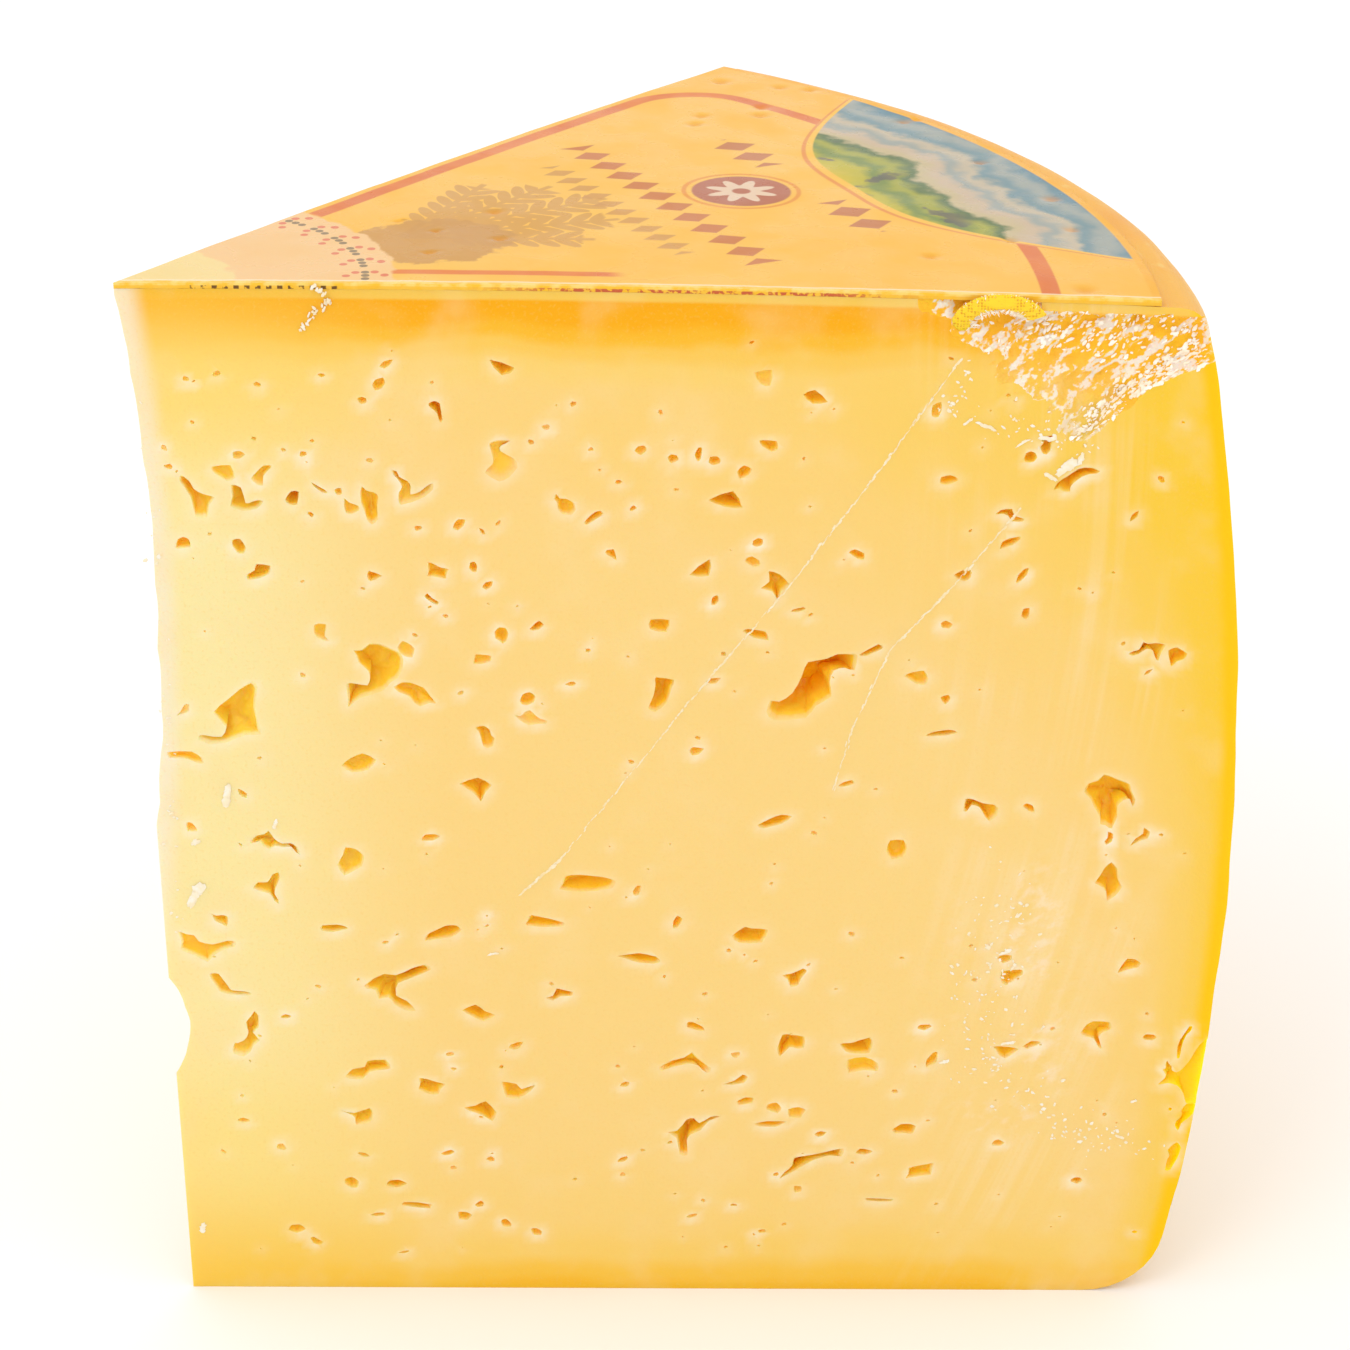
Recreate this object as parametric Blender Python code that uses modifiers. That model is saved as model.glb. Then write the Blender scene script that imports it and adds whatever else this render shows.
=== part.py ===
"""A wedge cut from a wheel of semi-hard cheese, with the printed film on its top.

Metres, +Z up. The wedge stands on the wheel's flat underside, and the origin is
under the middle of its box. The front cut face looks to -Y, the pointed end is
at -X and the rind at +X. Every mesh is made about the wheel's axis, where the
front cut face is the plane y = 0, and hangs on one empty at that axis.
"""
import math
import random

import bmesh
import bpy
from mathutils import Matrix, Vector, noise

MM = 0.001

# The wheel that the wedge comes from
WHEEL_RADIUS = 130 * MM       # where the top and the underside turn into the rind
RIM_BULGE = 7.1 * MM          # how far the rind swells out at half height
WHEEL_HEIGHT = 140.8 * MM     # at the rim
CROWN = 2.6 * MM              # how much higher the wheel's middle is
SHOULDER = 4 * MM             # radius of the top edge
FOOT = 11 * MM                # radius of the bottom edge
WHEEL_STEPS = 96              # facets round the whole wheel
RIM_STEPS = 12                # facets up the rind
CORNER_STEPS = 5              # facets round the shoulder and round the foot
CROWN_STEPS = 4               # facets from the middle to the shoulder

# The cut
WEDGE_ANGLE = math.radians(54.6)
KNIFE_REACH = 0.4             # the knife's blades go well past the wheel

# The printed film on the top
FILM_RADIUS = 124.5 * MM
FILM_THICKNESS = 0.6 * MM
FILM_GAP = 0.3 * MM

# The pointed end, worn hollow above and with a bite out of it lower down:
# centre and half sizes of the ball that is missing, from the wheel's axis
WORN_TIP = ((-9.6, 1.0, 107.0), (12.0, 14.0, 62.0))
TIP_BITE = ((-3.6, 1.5, 41.5), (6.0, 8.0, 9.5))

# Eyes of several lobes on the front cut face. A lobe is its distance from the
# pointed end, its height, its length and breadth in millimetres, and its tilt
# in degrees, where the right end of a positive one points up.
LOBED_EYES = (
    ((82.0, 89.1, 8.6, 4.6, 25), (86.6, 93.4, 6.6, 3.8, 30), (90.6, 95.7, 4.4, 1.5, 12)),
    ((29.4, 94.6, 5.7, 5.5, 0), (27.2, 90.0, 4.4, 3.0, -10), (34.0, 90.6, 4.8, 2.6, -28)),
    ((12.3, 87.8, 4.6, 6.6, 10), (11.0, 84.4, 6.6, 2.4, 12)),
    ((121.0, 76.5, 6.1, 6.0, 0), (121.2, 72.4, 2.6, 3.4, 0)),
    ((90.0, 38.4, 5.0, 3.2, 8), (90.8, 35.7, 4.8, 3.2, -20)),
    ((66.9, 24.4, 2.2, 5.8, -8), (69.0, 26.6, 3.6, 2.0, 20)),
    ((81.9, 19.8, 4.4, 2.8, 20), (85.6, 21.4, 6.8, 1.6, 10)),
    ((27.1, 48.6, 4.0, 3.6, -30), (32.0, 50.2, 5.2, 1.9, 35), (30.6, 45.6, 2.6, 3.6, 0)),
    ((10.3, 42.2, 1.9, 4.2, 0), (8.9, 38.4, 2.6, 2.8, 0)),
    ((6.0, 53.8, 7.8, 3.6, -8), (7.6, 57.2, 3.0, 1.9, 0)),
    ((8.3, 116.6, 4.2, 5.6, 0),),
    ((13.7, 116.2, 4.4, 3.6, 0), (11.6, 119.6, 3.4, 1.8, 30), (15.9, 119.0, 2.2, 2.8, 0)),
    ((29.2, 115.6, 2.3, 5.0, 0), (26.9, 115.2, 3.0, 1.5, 0)),
    ((32.4, 118.4, 1.8, 4.0, 20), (34.8, 117.6, 3.8, 1.9, 40)),
    ((115.2, 118.9, 6.0, 2.4, 28), (111.4, 122.8, 2.6, 2.8, 30)),
    ((132.4, 38.9, 1.6, 5.6, -15), (130.9, 34.3, 2.4, 4.2, 30)),
)

# Single eyes on the front cut face, given as one lobe each
PLAIN_EYES = (
    (46.0, 133.4, 3.8, 2.6, -20), (31.8, 132.8, 2.2, 3.8, 20), (83.6, 129.6, 3.8, 2.2, -20),
    (45.6, 121.2, 4.4, 5.8, 0), (72.8, 116.2, 4.9, 3.0, 15), (69.6, 107.0, 3.4, 3.0, 20),
    (79.2, 104.8, 3.2, 4.6, 0), (71.4, 121.6, 4.4, 2.0, 0), (37.3, 106.8, 2.8, 2.4, 0),
    (15.2, 106.6, 3.6, 2.4, 10), (64.6, 99.3, 3.1, 2.2, 0), (76.5, 98.0, 3.6, 1.7, -10),
    (64.5, 89.8, 2.6, 4.8, 15), (96.7, 92.2, 2.8, 2.8, 0), (107.2, 112.4, 2.9, 2.8, 0),
    (126.6, 95.8, 5.0, 2.6, -8), (26.4, 80.1, 5.2, 2.6, 20), (42.5, 83.7, 2.6, 3.2, 20),
    (40.9, 76.5, 4.6, 3.4, 0), (24.5, 66.2, 3.3, 4.2, 0), (13.9, 62.5, 3.6, 3.2, 0),
    (36.4, 55.5, 5.4, 2.0, 20), (49.4, 57.0, 5.4, 2.0, -5), (54.8, 62.8, 6.6, 2.4, 0),
    (75.6, 55.1, 4.9, 2.8, -15), (81.7, 48.9, 3.6, 3.4, 20), (94.5, 67.9, 3.0, 2.8, 0),
    (105.3, 73.7, 4.7, 3.3, -15), (121.9, 63.8, 3.2, 5.5, 10), (109.6, 49.3, 3.4, 2.8, 0),
    (121.1, 41.4, 4.4, 2.7, 0), (109.1, 37.9, 3.4, 2.4, 0), (81.3, 38.7, 4.2, 3.6, 0),
    (67.3, 36.1, 7.1, 1.8, 5), (45.2, 31.5, 4.4, 2.8, 15), (40.5, 28.3, 3.8, 3.2, -20),
    (33.8, 32.2, 3.6, 2.6, 0), (24.6, 34.6, 5.0, 2.6, 15), (24.0, 27.3, 2.9, 2.8, 0),
    (40.4, 43.5, 4.0, 2.5, -15), (50.9, 46.4, 4.2, 2.0, 15), (15.0, 8.3, 4.0, 2.0, -15),
    (80.6, 28.6, 5.6, 2.4, 0), (61.3, 51.8, 5.8, 1.6, -12), (14.2, 69.4, 5.2, 2.2, 0),
)

# The back cut face isn't seen, so its eyes are drawn at random, this many
BACK_EYES = 20
BACK_EYE_LENGTH = (2.4, 6.0)
BACK_MARGIN = 7.0             # clear of the face's edges, and a little of each other

# The corner between the front cut face, the top and the rind, where the crust
# tore off: a steep edge runs between two points, and the far side fades out
TEAR_EDGE = ((131.5, 132.5), (116.4, 118.8))
TEAR_FADE = ((97.0, 142.0), (110.0, 121.0))
TEAR_DEPTH = 2.6
TEAR_CRAG = 0.9
TEAR_BOX = ((94.0, 140.0), (114.0, 147.0))
TEAR_CELL = 2.0

# A strip of torn skin that curls over the top edge beside the torn corner. Its
# ends are in the cheese, and its crest stands in front of the cut face.
CURL_MIDDLE = (104.6, 0.4, 138.6)
CURL_RADIUS = 3.7
CURL_CREST = 1.9              # how far the crest comes forward from the ends
CURL_SPAN = (math.radians(20), math.radians(195))
CURL_HALF_WIDTH = 0.65
CURL_STEPS = 8

# How an eye gets its shape: grains of curd press its round wall in, and the
# corners between them reach a little past the round
GRAIN_SIZE = (0.7, 1.4)
GRAIN_NEAREST = (0.6, 0.9)
EYE_CORNER = 1.2
EYE_DEPTH = 0.75              # of the mean of its length and breadth
LARGE_LOBE = 24               # square millimetres, above which a lobe gets finer facets


def rim_radius(height):
    """Radius of the rind at a height: a shallow parabola."""
    up = 2 * height / WHEEL_HEIGHT - 1
    return WHEEL_RADIUS + RIM_BULGE * (1 - up * up)


def rim_lean(height):
    """Angle of the rind's outward normal above level at a height."""
    up = 2 * height / WHEEL_HEIGHT - 1
    return math.atan(4 * RIM_BULGE * up / WHEEL_HEIGHT)


def top_height(radius):
    """Height of the crowned top at a distance from the axis."""
    return WHEEL_HEIGHT + CROWN * (1 - (radius / WHEEL_RADIUS) ** 2)


def rim_corner(radius, flat, side):
    """Where the rind meets a rounded edge: the edge's centre and where it starts."""
    height = flat
    for _ in range(6):
        lean = rim_lean(height)
        height = flat - side * radius * (1 - side * math.sin(lean))
    middle = (rim_radius(height) - radius * math.cos(lean), height - radius * math.sin(lean))
    return middle, height, lean


def arc(middle, radius, start, end, steps):
    """Points on an arc, both ends included."""
    turns = [start + (end - start) * k / steps for k in range(steps + 1)]
    return [(middle[0] + radius * math.cos(t), middle[1] + radius * math.sin(t)) for t in turns]


def wheel_profile():
    """Half section of the wheel, from the middle of its top round to the bottom."""
    top_middle, top_start, top_lean = rim_corner(SHOULDER, WHEEL_HEIGHT, 1)
    foot_middle, foot_start, foot_lean = rim_corner(FOOT, 0, -1)
    crown_end = top_middle[0]
    points = []
    for k in range(CROWN_STEPS):
        radius = crown_end * k / CROWN_STEPS
        points.append((radius, top_height(radius)))
    points += arc(top_middle, SHOULDER, math.pi / 2, top_lean, CORNER_STEPS)
    for k in range(1, RIM_STEPS):
        height = top_start + (foot_start - top_start) * k / RIM_STEPS
        points.append((rim_radius(height), height))
    points += arc(foot_middle, FOOT, foot_lean, -math.pi / 2, CORNER_STEPS)
    points.append((0, 0))
    return points


def film_profile():
    """Half section of the film, which lies just above the crowned top."""
    radii = [FILM_RADIUS * k / CROWN_STEPS for k in range(CROWN_STEPS + 1)]
    above = [(r, top_height(r) + FILM_GAP + FILM_THICKNESS) for r in radii]
    below = [(r, top_height(r) + FILM_GAP) for r in reversed(radii)]
    return above + below


def material(name, colour, roughness):
    """A plain finish with one colour."""
    made = bpy.data.materials.new(name)
    made.use_nodes = True
    shader = made.node_tree.nodes["Principled BSDF"]
    shader.inputs["Base Color"].default_value = (*colour, 1)
    shader.inputs["Roughness"].default_value = roughness
    shader.inputs["Metallic"].default_value = 0
    return made


def add_object(name, bm, collection, parent):
    """Put a finished bmesh in the scene under a name."""
    mesh = bpy.data.meshes.new(name)
    bm.to_mesh(mesh)
    bm.free()
    made = bpy.data.objects.new(name, mesh)
    made.parent = parent
    collection.objects.link(made)
    return made


def add_turned(name, profile, collection, parent):
    """A solid turned about the wheel's axis. It starts half a facet back, so
    that no facet's edge lies in the plane of the cut."""
    bm = bmesh.new()
    verts = [bm.verts.new((r, 0, z)) for r, z in profile]
    for upper, lower in zip(verts, verts[1:]):
        bm.edges.new((upper, lower))
    made = add_object(name, bm, collection, parent)
    made.rotation_euler.z = -math.pi / WHEEL_STEPS
    turn = made.modifiers.new("turn", "SCREW")
    turn.steps = WHEEL_STEPS
    turn.render_steps = WHEEL_STEPS
    turn.use_merge_vertices = True
    turn.merge_threshold = 0.00001
    return made


def add_cutter(name, bm, collection, parent):
    """An object that only cuts others."""
    made = add_object(name, bm, collection, parent)
    made.hide_render = True
    made.display_type = "WIRE"
    return made


def cut(target, cutter, operation="DIFFERENCE", solver="EXACT"):
    """Add a Boolean cut to an object."""
    step = target.modifiers.new(cutter.name, "BOOLEAN")
    step.operation = operation
    step.solver = solver
    step.object = cutter


def knife(collection, parent):
    """The space between the knife's two cuts, which meet at the wheel's axis."""
    bm = bmesh.new()
    low, high = -0.1, WHEEL_HEIGHT + 0.1
    far = (KNIFE_REACH * math.cos(WEDGE_ANGLE), KNIFE_REACH * math.sin(WEDGE_ANGLE))
    corners = [(0, 0), (KNIFE_REACH, 0), (KNIFE_REACH, far[1]), far]
    floor = bm.faces.new([bm.verts.new((x, y, low)) for x, y in corners])
    raised = bmesh.ops.extrude_face_region(bm, geom=[floor])
    moved = [item for item in raised["geom"] if isinstance(item, bmesh.types.BMVert)]
    bmesh.ops.translate(bm, verts=moved, vec=(0, 0, high - low))
    bmesh.ops.recalc_face_normals(bm, faces=bm.faces)
    return add_cutter("knife", bm, collection, parent)


def missing_ball(name, place, collection, parent):
    """A ball, given by its centre and half sizes in millimetres."""
    centre, half = place
    bm = bmesh.new()
    bmesh.ops.create_icosphere(bm, subdivisions=4, radius=1)
    bmesh.ops.scale(bm, verts=bm.verts, vec=[h * MM for h in half])
    bmesh.ops.translate(bm, verts=bm.verts, vec=[c * MM for c in centre])
    return add_cutter(name, bm, collection, parent)


def curd_grains(draw):
    """Balls of curd round an eye of radius 1: some round its side, two behind."""
    sides = draw.choice((3, 4, 4, 5))
    first = draw.uniform(0, math.tau)
    grains = []
    for k in range(sides):
        turn = first + (k + draw.uniform(-0.2, 0.2)) * math.tau / sides
        away = Vector((math.cos(turn), draw.uniform(-0.2, 0.4), math.sin(turn)))
        grains.append((away.normalized(), draw.uniform(*GRAIN_SIZE)))
    for _ in range(2):
        away = Vector((draw.uniform(-0.7, 0.7), 1, draw.uniform(-0.7, 0.7)))
        grains.append((away.normalized(), draw.uniform(*GRAIN_SIZE)))
    return [(away * (size + draw.uniform(*GRAIN_NEAREST)), size) for away, size in grains]


def eye_reach(away, grains):
    """How far the eye's wall is from its centre in a direction."""
    reach = EYE_CORNER
    for centre, size in grains:
        along = centre.dot(away)
        inside = size * size - (centre.length_squared - along * along)
        if along > 0 and inside > 0:
            reach = min(reach, along - math.sqrt(inside))
    return reach


def add_lobe(bm, lobe, draw, to_face):
    """One hollow: a ball with its wall pressed in, sized, tilted and put on a face."""
    x, z, length, breadth, tilt = lobe
    detail = 3 if length * breadth > LARGE_LOBE else 2
    grains = curd_grains(draw)
    ball = bmesh.ops.create_icosphere(bm, subdivisions=detail, radius=1)["verts"]
    for vert in ball:
        away = vert.co.normalized()
        vert.co = away * eye_reach(away, grains)
    wide = max(v.co.x for v in ball) - min(v.co.x for v in ball)
    high = max(v.co.z for v in ball) - min(v.co.z for v in ball)
    depth = EYE_DEPTH * (length + breadth) / 2
    size = Vector((length / wide, depth, breadth / high)) * MM
    place = Matrix.Translation(Vector((x, 0, z)) * MM) @ Matrix.Rotation(math.radians(-tilt), 4, "Y")
    bmesh.ops.transform(bm, verts=ball, matrix=to_face @ place @ Matrix.Diagonal((*size, 1)))


def front_eyes(collection, parent):
    """Cutters for the front cut face. Lobes that overlap go to different ones."""
    draw = random.Random(11)
    layers = [bmesh.new() for _ in range(max(len(eye) for eye in LOBED_EYES))]
    for eye in LOBED_EYES:
        for k, lobe in enumerate(eye):
            add_lobe(layers[k], lobe, draw, Matrix())
    for lobe in PLAIN_EYES:
        add_lobe(layers[0], lobe, draw, Matrix())
    names = [f"front_eyes_{k}" for k in range(len(layers))]
    return [add_cutter(name, bm, collection, parent) for name, bm in zip(names, layers)]


def back_eyes(collection, parent):
    """A cutter for the back cut face, with eyes drawn clear of each other."""
    draw = random.Random(5)
    to_face = Matrix.Rotation(WEDGE_ANGLE, 4, "Z")
    bm = bmesh.new()
    placed = []
    while len(placed) < BACK_EYES:
        x = draw.uniform(BACK_MARGIN, WHEEL_RADIUS / MM - BACK_MARGIN)
        z = draw.uniform(BACK_MARGIN, WHEEL_HEIGHT / MM - BACK_MARGIN)
        length = draw.triangular(*BACK_EYE_LENGTH, BACK_EYE_LENGTH[0])
        if all(math.hypot(x - a, z - b) > BACK_MARGIN for a, b in placed):
            placed.append((x, z))
            lobe = (x, z, length, length * draw.uniform(0.5, 0.9), draw.uniform(-40, 40))
            add_lobe(bm, lobe, draw, to_face)
    return add_cutter("back_eyes", bm, collection, parent)


def side_of(point, line):
    """Distance of a point to the right of a line, in the plane of the face."""
    (x0, z0), (x1, z1) = line
    length = math.hypot(x1 - x0, z1 - z0)
    return ((point[0] - x0) * (z1 - z0) - (point[1] - z0) * (x1 - x0)) / length


def tear_depth(x, z):
    """How deep the torn corner is at a place on the front face, in millimetres."""
    steep = min(max(side_of((x, z), TEAR_EDGE) / 1.5, -1), 1)
    fade = min(max(-side_of((x, z), TEAR_FADE) / 14, -1), 1)
    crag = noise.fractal((x * 0.22, z * 0.3, 4.0), 1.0, 2.0, 3)
    return TEAR_DEPTH * min(steep, fade) + TEAR_CRAG * crag - 0.3


def torn_corner(collection, parent):
    """A slab with a craggy back, which takes the torn crust off the corner."""
    (left, right), (low, high) = TEAR_BOX
    columns = round((right - left) / TEAR_CELL)
    rows = round((high - low) / TEAR_CELL)
    bm = bmesh.new()
    bmesh.ops.create_grid(bm, x_segments=columns, y_segments=rows, size=0.5)
    for vert in bm.verts:
        x = left + (vert.co.x + 0.5) * (right - left)
        z = low + (vert.co.y + 0.5) * (high - low)
        vert.co = Vector((x, tear_depth(x, z), z)) * MM
    front = bmesh.ops.extrude_face_region(bm, geom=bm.faces[:])
    for item in front["geom"]:
        if isinstance(item, bmesh.types.BMVert):
            item.co.y = -8 * MM
    bmesh.ops.recalc_face_normals(bm, faces=bm.faces)
    return add_cutter("torn_corner", bm, collection, parent)


def skin_curl(collection, parent):
    """The curled strip of skin, a bent tube that joins the cheese at its ends."""
    centre = Vector(CURL_MIDDLE) * MM
    line = bpy.data.curves.new("curl_line", "CURVE")
    line.dimensions = "3D"
    line.bevel_depth = CURL_HALF_WIDTH * MM
    line.bevel_resolution = 1
    line.use_fill_caps = True
    spline = line.splines.new("POLY")
    spline.points.add(CURL_STEPS)
    for k, point in enumerate(spline.points):
        turn = CURL_SPAN[0] + (CURL_SPAN[1] - CURL_SPAN[0]) * k / CURL_STEPS
        forward = CURL_CREST * math.sin(turn)
        spread = Vector((CURL_RADIUS * math.cos(turn), -forward, CURL_RADIUS * math.sin(turn)))
        point.co = (*(centre + spread * MM), 1)
    drawn = bpy.data.objects.new("curl_line", line)
    collection.objects.link(drawn)
    tube = bpy.data.meshes.new_from_object(drawn.evaluated_get(bpy.context.evaluated_depsgraph_get()))
    bpy.data.objects.remove(drawn)
    bm = bmesh.new()
    bm.from_mesh(tube)
    bmesh.ops.remove_doubles(bm, verts=bm.verts, dist=0.00001)
    return add_cutter("skin_curl", bm, collection, parent)


def main():
    for old in list(bpy.data.objects):
        bpy.data.objects.remove(old)
    parts = bpy.data.collections.new("cheese_wedge")
    cutters = bpy.data.collections.new("cutters")
    bpy.context.scene.collection.children.link(parts)
    bpy.context.scene.collection.children.link(cutters)

    axis = bpy.data.objects.new("wheel_axis", None)
    widest = WHEEL_RADIUS + RIM_BULGE
    curl_front = (CURL_CREST + CURL_HALF_WIDTH - CURL_MIDDLE[1]) * MM
    axis.location = (-widest / 2, (curl_front - widest * math.sin(WEDGE_ANGLE)) / 2, 0)
    parts.objects.link(axis)

    cheese = add_turned("cheese", wheel_profile(), parts, axis)
    film = add_turned("top_film", film_profile(), parts, axis)
    cheese.data.materials.append(material("pale_cheese", (0.95, 0.67, 0.25), 0.5))
    film.data.materials.append(material("printed_film", (0.93, 0.5, 0.1), 0.35))

    blades = knife(cutters, axis)
    cut(cheese, blades, "INTERSECT")
    cut(film, blades, "INTERSECT")
    cut(cheese, missing_ball("worn_tip", WORN_TIP, cutters, axis))
    cut(cheese, missing_ball("tip_bite", TIP_BITE, cutters, axis))
    cut(cheese, torn_corner(cutters, axis))
    cut(cheese, skin_curl(cutters, axis), "UNION")
    for eyes in front_eyes(cutters, axis) + [back_eyes(cutters, axis)]:
        cut(cheese, eyes, solver="MANIFOLD")


main()
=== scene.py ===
"""Looks of a wedge cut from a wheel of semi-hard cheese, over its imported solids.

Shapes are made in millimetres about the wheel's axis, where the front cut face
is the plane y = 0, the pointed end is at x = 0 and the rind at +x. Each finished
mesh is then put in the frame, in metres.
"""
import math
import random

import bmesh
import bpy
from mathutils import Matrix, Vector, kdtree, noise


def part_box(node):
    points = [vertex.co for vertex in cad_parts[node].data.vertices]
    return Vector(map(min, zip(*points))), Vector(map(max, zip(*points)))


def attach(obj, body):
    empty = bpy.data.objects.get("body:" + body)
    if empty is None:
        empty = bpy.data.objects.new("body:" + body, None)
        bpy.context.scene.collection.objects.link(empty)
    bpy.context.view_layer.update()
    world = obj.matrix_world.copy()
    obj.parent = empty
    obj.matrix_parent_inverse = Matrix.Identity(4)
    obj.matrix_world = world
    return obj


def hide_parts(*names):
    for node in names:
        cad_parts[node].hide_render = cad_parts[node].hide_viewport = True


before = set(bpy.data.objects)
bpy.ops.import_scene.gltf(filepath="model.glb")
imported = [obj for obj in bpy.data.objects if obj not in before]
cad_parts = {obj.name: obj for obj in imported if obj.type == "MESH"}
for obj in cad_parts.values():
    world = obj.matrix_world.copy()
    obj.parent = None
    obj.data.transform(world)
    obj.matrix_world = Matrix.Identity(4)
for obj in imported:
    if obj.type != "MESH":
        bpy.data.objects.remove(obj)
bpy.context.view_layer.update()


# The wedge of cheese: pressed curd from a drum-shaped wheel, cut by two strokes
# of a knife that meet at the wheel's axis. The flat cut faces stay as the knife
# left them, and the rind is the wheel's own bulging side.
MM = 0.001
axis_x, axis_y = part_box("top_film")[0][:2]
TO_FRAME = Matrix.Translation((axis_x, axis_y, 0)) @ Matrix.Scale(MM, 4)

WHEEL_RADIUS = 130.0
RIM_BULGE = 7.1
WHEEL_HEIGHT = 140.8
CROWN = 2.6
SHOULDER = 4.0
FOOT = 11.0
WEDGE_ANGLE = math.radians(54.6)
WEDGE_STEPS = 40
RIND_WAVE = 0.25
FRONT_CELL = 1.0
BACK_CELL = 2.0
RIND, PASTE, EYE, TORN = range(4)
WORN_TIP = ((-9.6, 1.0, 107.0), (12.0, 14.0, 62.0))
TIP_BITE = ((-3.6, 1.5, 41.5), (6.0, 8.0, 9.5))


def rim_radius(height):
    """Radius of the rind at a height: a shallow parabola."""
    up = 2 * height / WHEEL_HEIGHT - 1
    return WHEEL_RADIUS + RIM_BULGE * (1 - up * up)


def top_height(radius):
    """Height of the crowned top at a distance from the axis."""
    return WHEEL_HEIGHT + CROWN * (1 - (radius / WHEEL_RADIUS) ** 2)


def rounded_edge(radius, flat, side, steps):
    """Points round an edge of the wheel, from its flat side to its rind."""
    height = flat
    for _ in range(6):
        lean = math.atan(4 * RIM_BULGE * (2 * height / WHEEL_HEIGHT - 1) / WHEEL_HEIGHT)
        height = flat - side * radius * (1 - side * math.sin(lean))
    middle = (rim_radius(height) - radius * math.cos(lean), height - radius * math.sin(lean))
    turns = [side * math.pi / 2 + (lean - side * math.pi / 2) * k / steps for k in range(steps + 1)]
    return [(middle[0] + radius * math.cos(t), middle[1] + radius * math.sin(t)) for t in turns]


def wheel_section():
    """Half section of the wheel, from the middle of its top round to the bottom."""
    shoulder = rounded_edge(SHOULDER, WHEEL_HEIGHT, 1, 6)
    foot = rounded_edge(FOOT, 0, -1, 8)
    top = [(r, top_height(r)) for r in range(0, 124, 4)]
    high, low = shoulder[-1][1], foot[-1][1]
    side = [high + (low - high) * k / 40 for k in range(1, 40)]
    rind = [(rim_radius(z), z) for z in side]
    base = [(r, 0.0) for r in range(116, -1, -4)]
    return top + shoulder + rind + foot[::-1] + base


def cut_into_strips(bm, faces, across, width):
    """Cut flat faces by planes a width apart, each one only what the last left."""
    reach = [vert.co.dot(across) for face in faces for vert in face.verts]
    place, end = min(reach) + width, max(reach) - width / 3
    done, rest = [], list(faces)
    while place < end:
        edges = {edge for face in rest for edge in face.edges}
        corners = {vert for face in rest for vert in face.verts}
        geom = rest + list(edges) + list(corners)
        halves = bmesh.ops.bisect_plane(bm, geom=geom, dist=0.001, plane_co=across * place, plane_no=across)
        pieces = [item for item in halves["geom"] if isinstance(item, bmesh.types.BMFace)]
        rest = [face for face in pieces if face.calc_center_median().dot(across) > place]
        done += [face for face in pieces if face.calc_center_median().dot(across) <= place]
        place += width
    return done + rest


def cut_face(bm, along, cell):
    """Close one side of the turned wedge with a flat face of small cells."""
    across = Vector((-along.y, along.x, 0))
    rim = [vert for vert in bm.verts if abs(vert.co.dot(across)) < 0.001]
    rim.sort(key=lambda vert: math.atan2(vert.co.z - 70, vert.co.dot(along) - 65))
    face = bm.faces.new(rim)
    face.material_index = PASTE
    strips = cut_into_strips(bm, [face], along, cell)
    cut_into_strips(bm, strips, Vector((0, 0, 1)), cell)


def wedge_solid():
    """The wheel's section turned through the wedge's angle and closed."""
    bm = bmesh.new()
    verts = [bm.verts.new((r, 0, z)) for r, z in wheel_section()]
    edges = [bm.edges.new(pair) for pair in zip(verts, verts[1:])]
    bmesh.ops.spin(bm, geom=verts + edges, cent=(0, 0, 0), axis=(0, 0, 1),
                   angle=WEDGE_ANGLE, steps=WEDGE_STEPS, use_merge=False, use_duplicate=False)
    bmesh.ops.remove_doubles(bm, verts=bm.verts, dist=0.001)
    cut_face(bm, Vector((1, 0, 0)), FRONT_CELL)
    cut_face(bm, Vector((math.cos(WEDGE_ANGLE), math.sin(WEDGE_ANGLE), 0)), BACK_CELL)
    for vert in bm.verts:
        radius = math.hypot(vert.co.x, vert.co.y)
        if radius > 125:
            wave = noise.fractal(vert.co * 0.06, 1.0, 2.0, 3)
            vert.co.xy *= 1 + RIND_WAVE * wave / radius
    bmesh.ops.recalc_face_normals(bm, faces=bm.faces)
    return bm


def as_object(name, bm):
    """A new object for a finished bmesh."""
    mesh = bpy.data.meshes.new(name)
    bm.to_mesh(mesh)
    bm.free()
    made = bpy.data.objects.new(name, mesh)
    bpy.context.scene.collection.objects.link(made)
    return made


def ink(red, green, blue, share=0.88):
    """A surface's colour, from the steps of 255 that it shows in the bright studio."""
    steps = [level / 255 for level in (red, green, blue)]
    linear = [s / 12.92 if s < 0.04 else ((s + 0.055) / 1.055) ** 2.4 for s in steps]
    return (*(share * level for level in linear), 1)


def add_node(tree, kind, **settings):
    """A shader node with its settings."""
    made = tree.nodes.new(kind)
    for name, value in settings.items():
        setattr(made, name, value)
    return made


def feed(tree, sockets, *values):
    """Give sockets their values: other sockets are linked, the rest is set."""
    for socket, value in zip(sockets, values):
        if isinstance(value, bpy.types.NodeSocket):
            tree.links.new(value, socket)
        else:
            socket.default_value = value


def maths(tree, operation, *values):
    """The result of one Math node."""
    made = add_node(tree, "ShaderNodeMath", operation=operation)
    feed(tree, made.inputs, *values)
    return made.outputs[0]


def plus(tree, *values):
    """The sum of two values."""
    return maths(tree, "ADD", *values)


def minus(tree, *values):
    """The first value less the second."""
    return maths(tree, "SUBTRACT", *values)


def times(tree, *values):
    """Two values multiplied."""
    return maths(tree, "MULTIPLY", *values)


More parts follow.
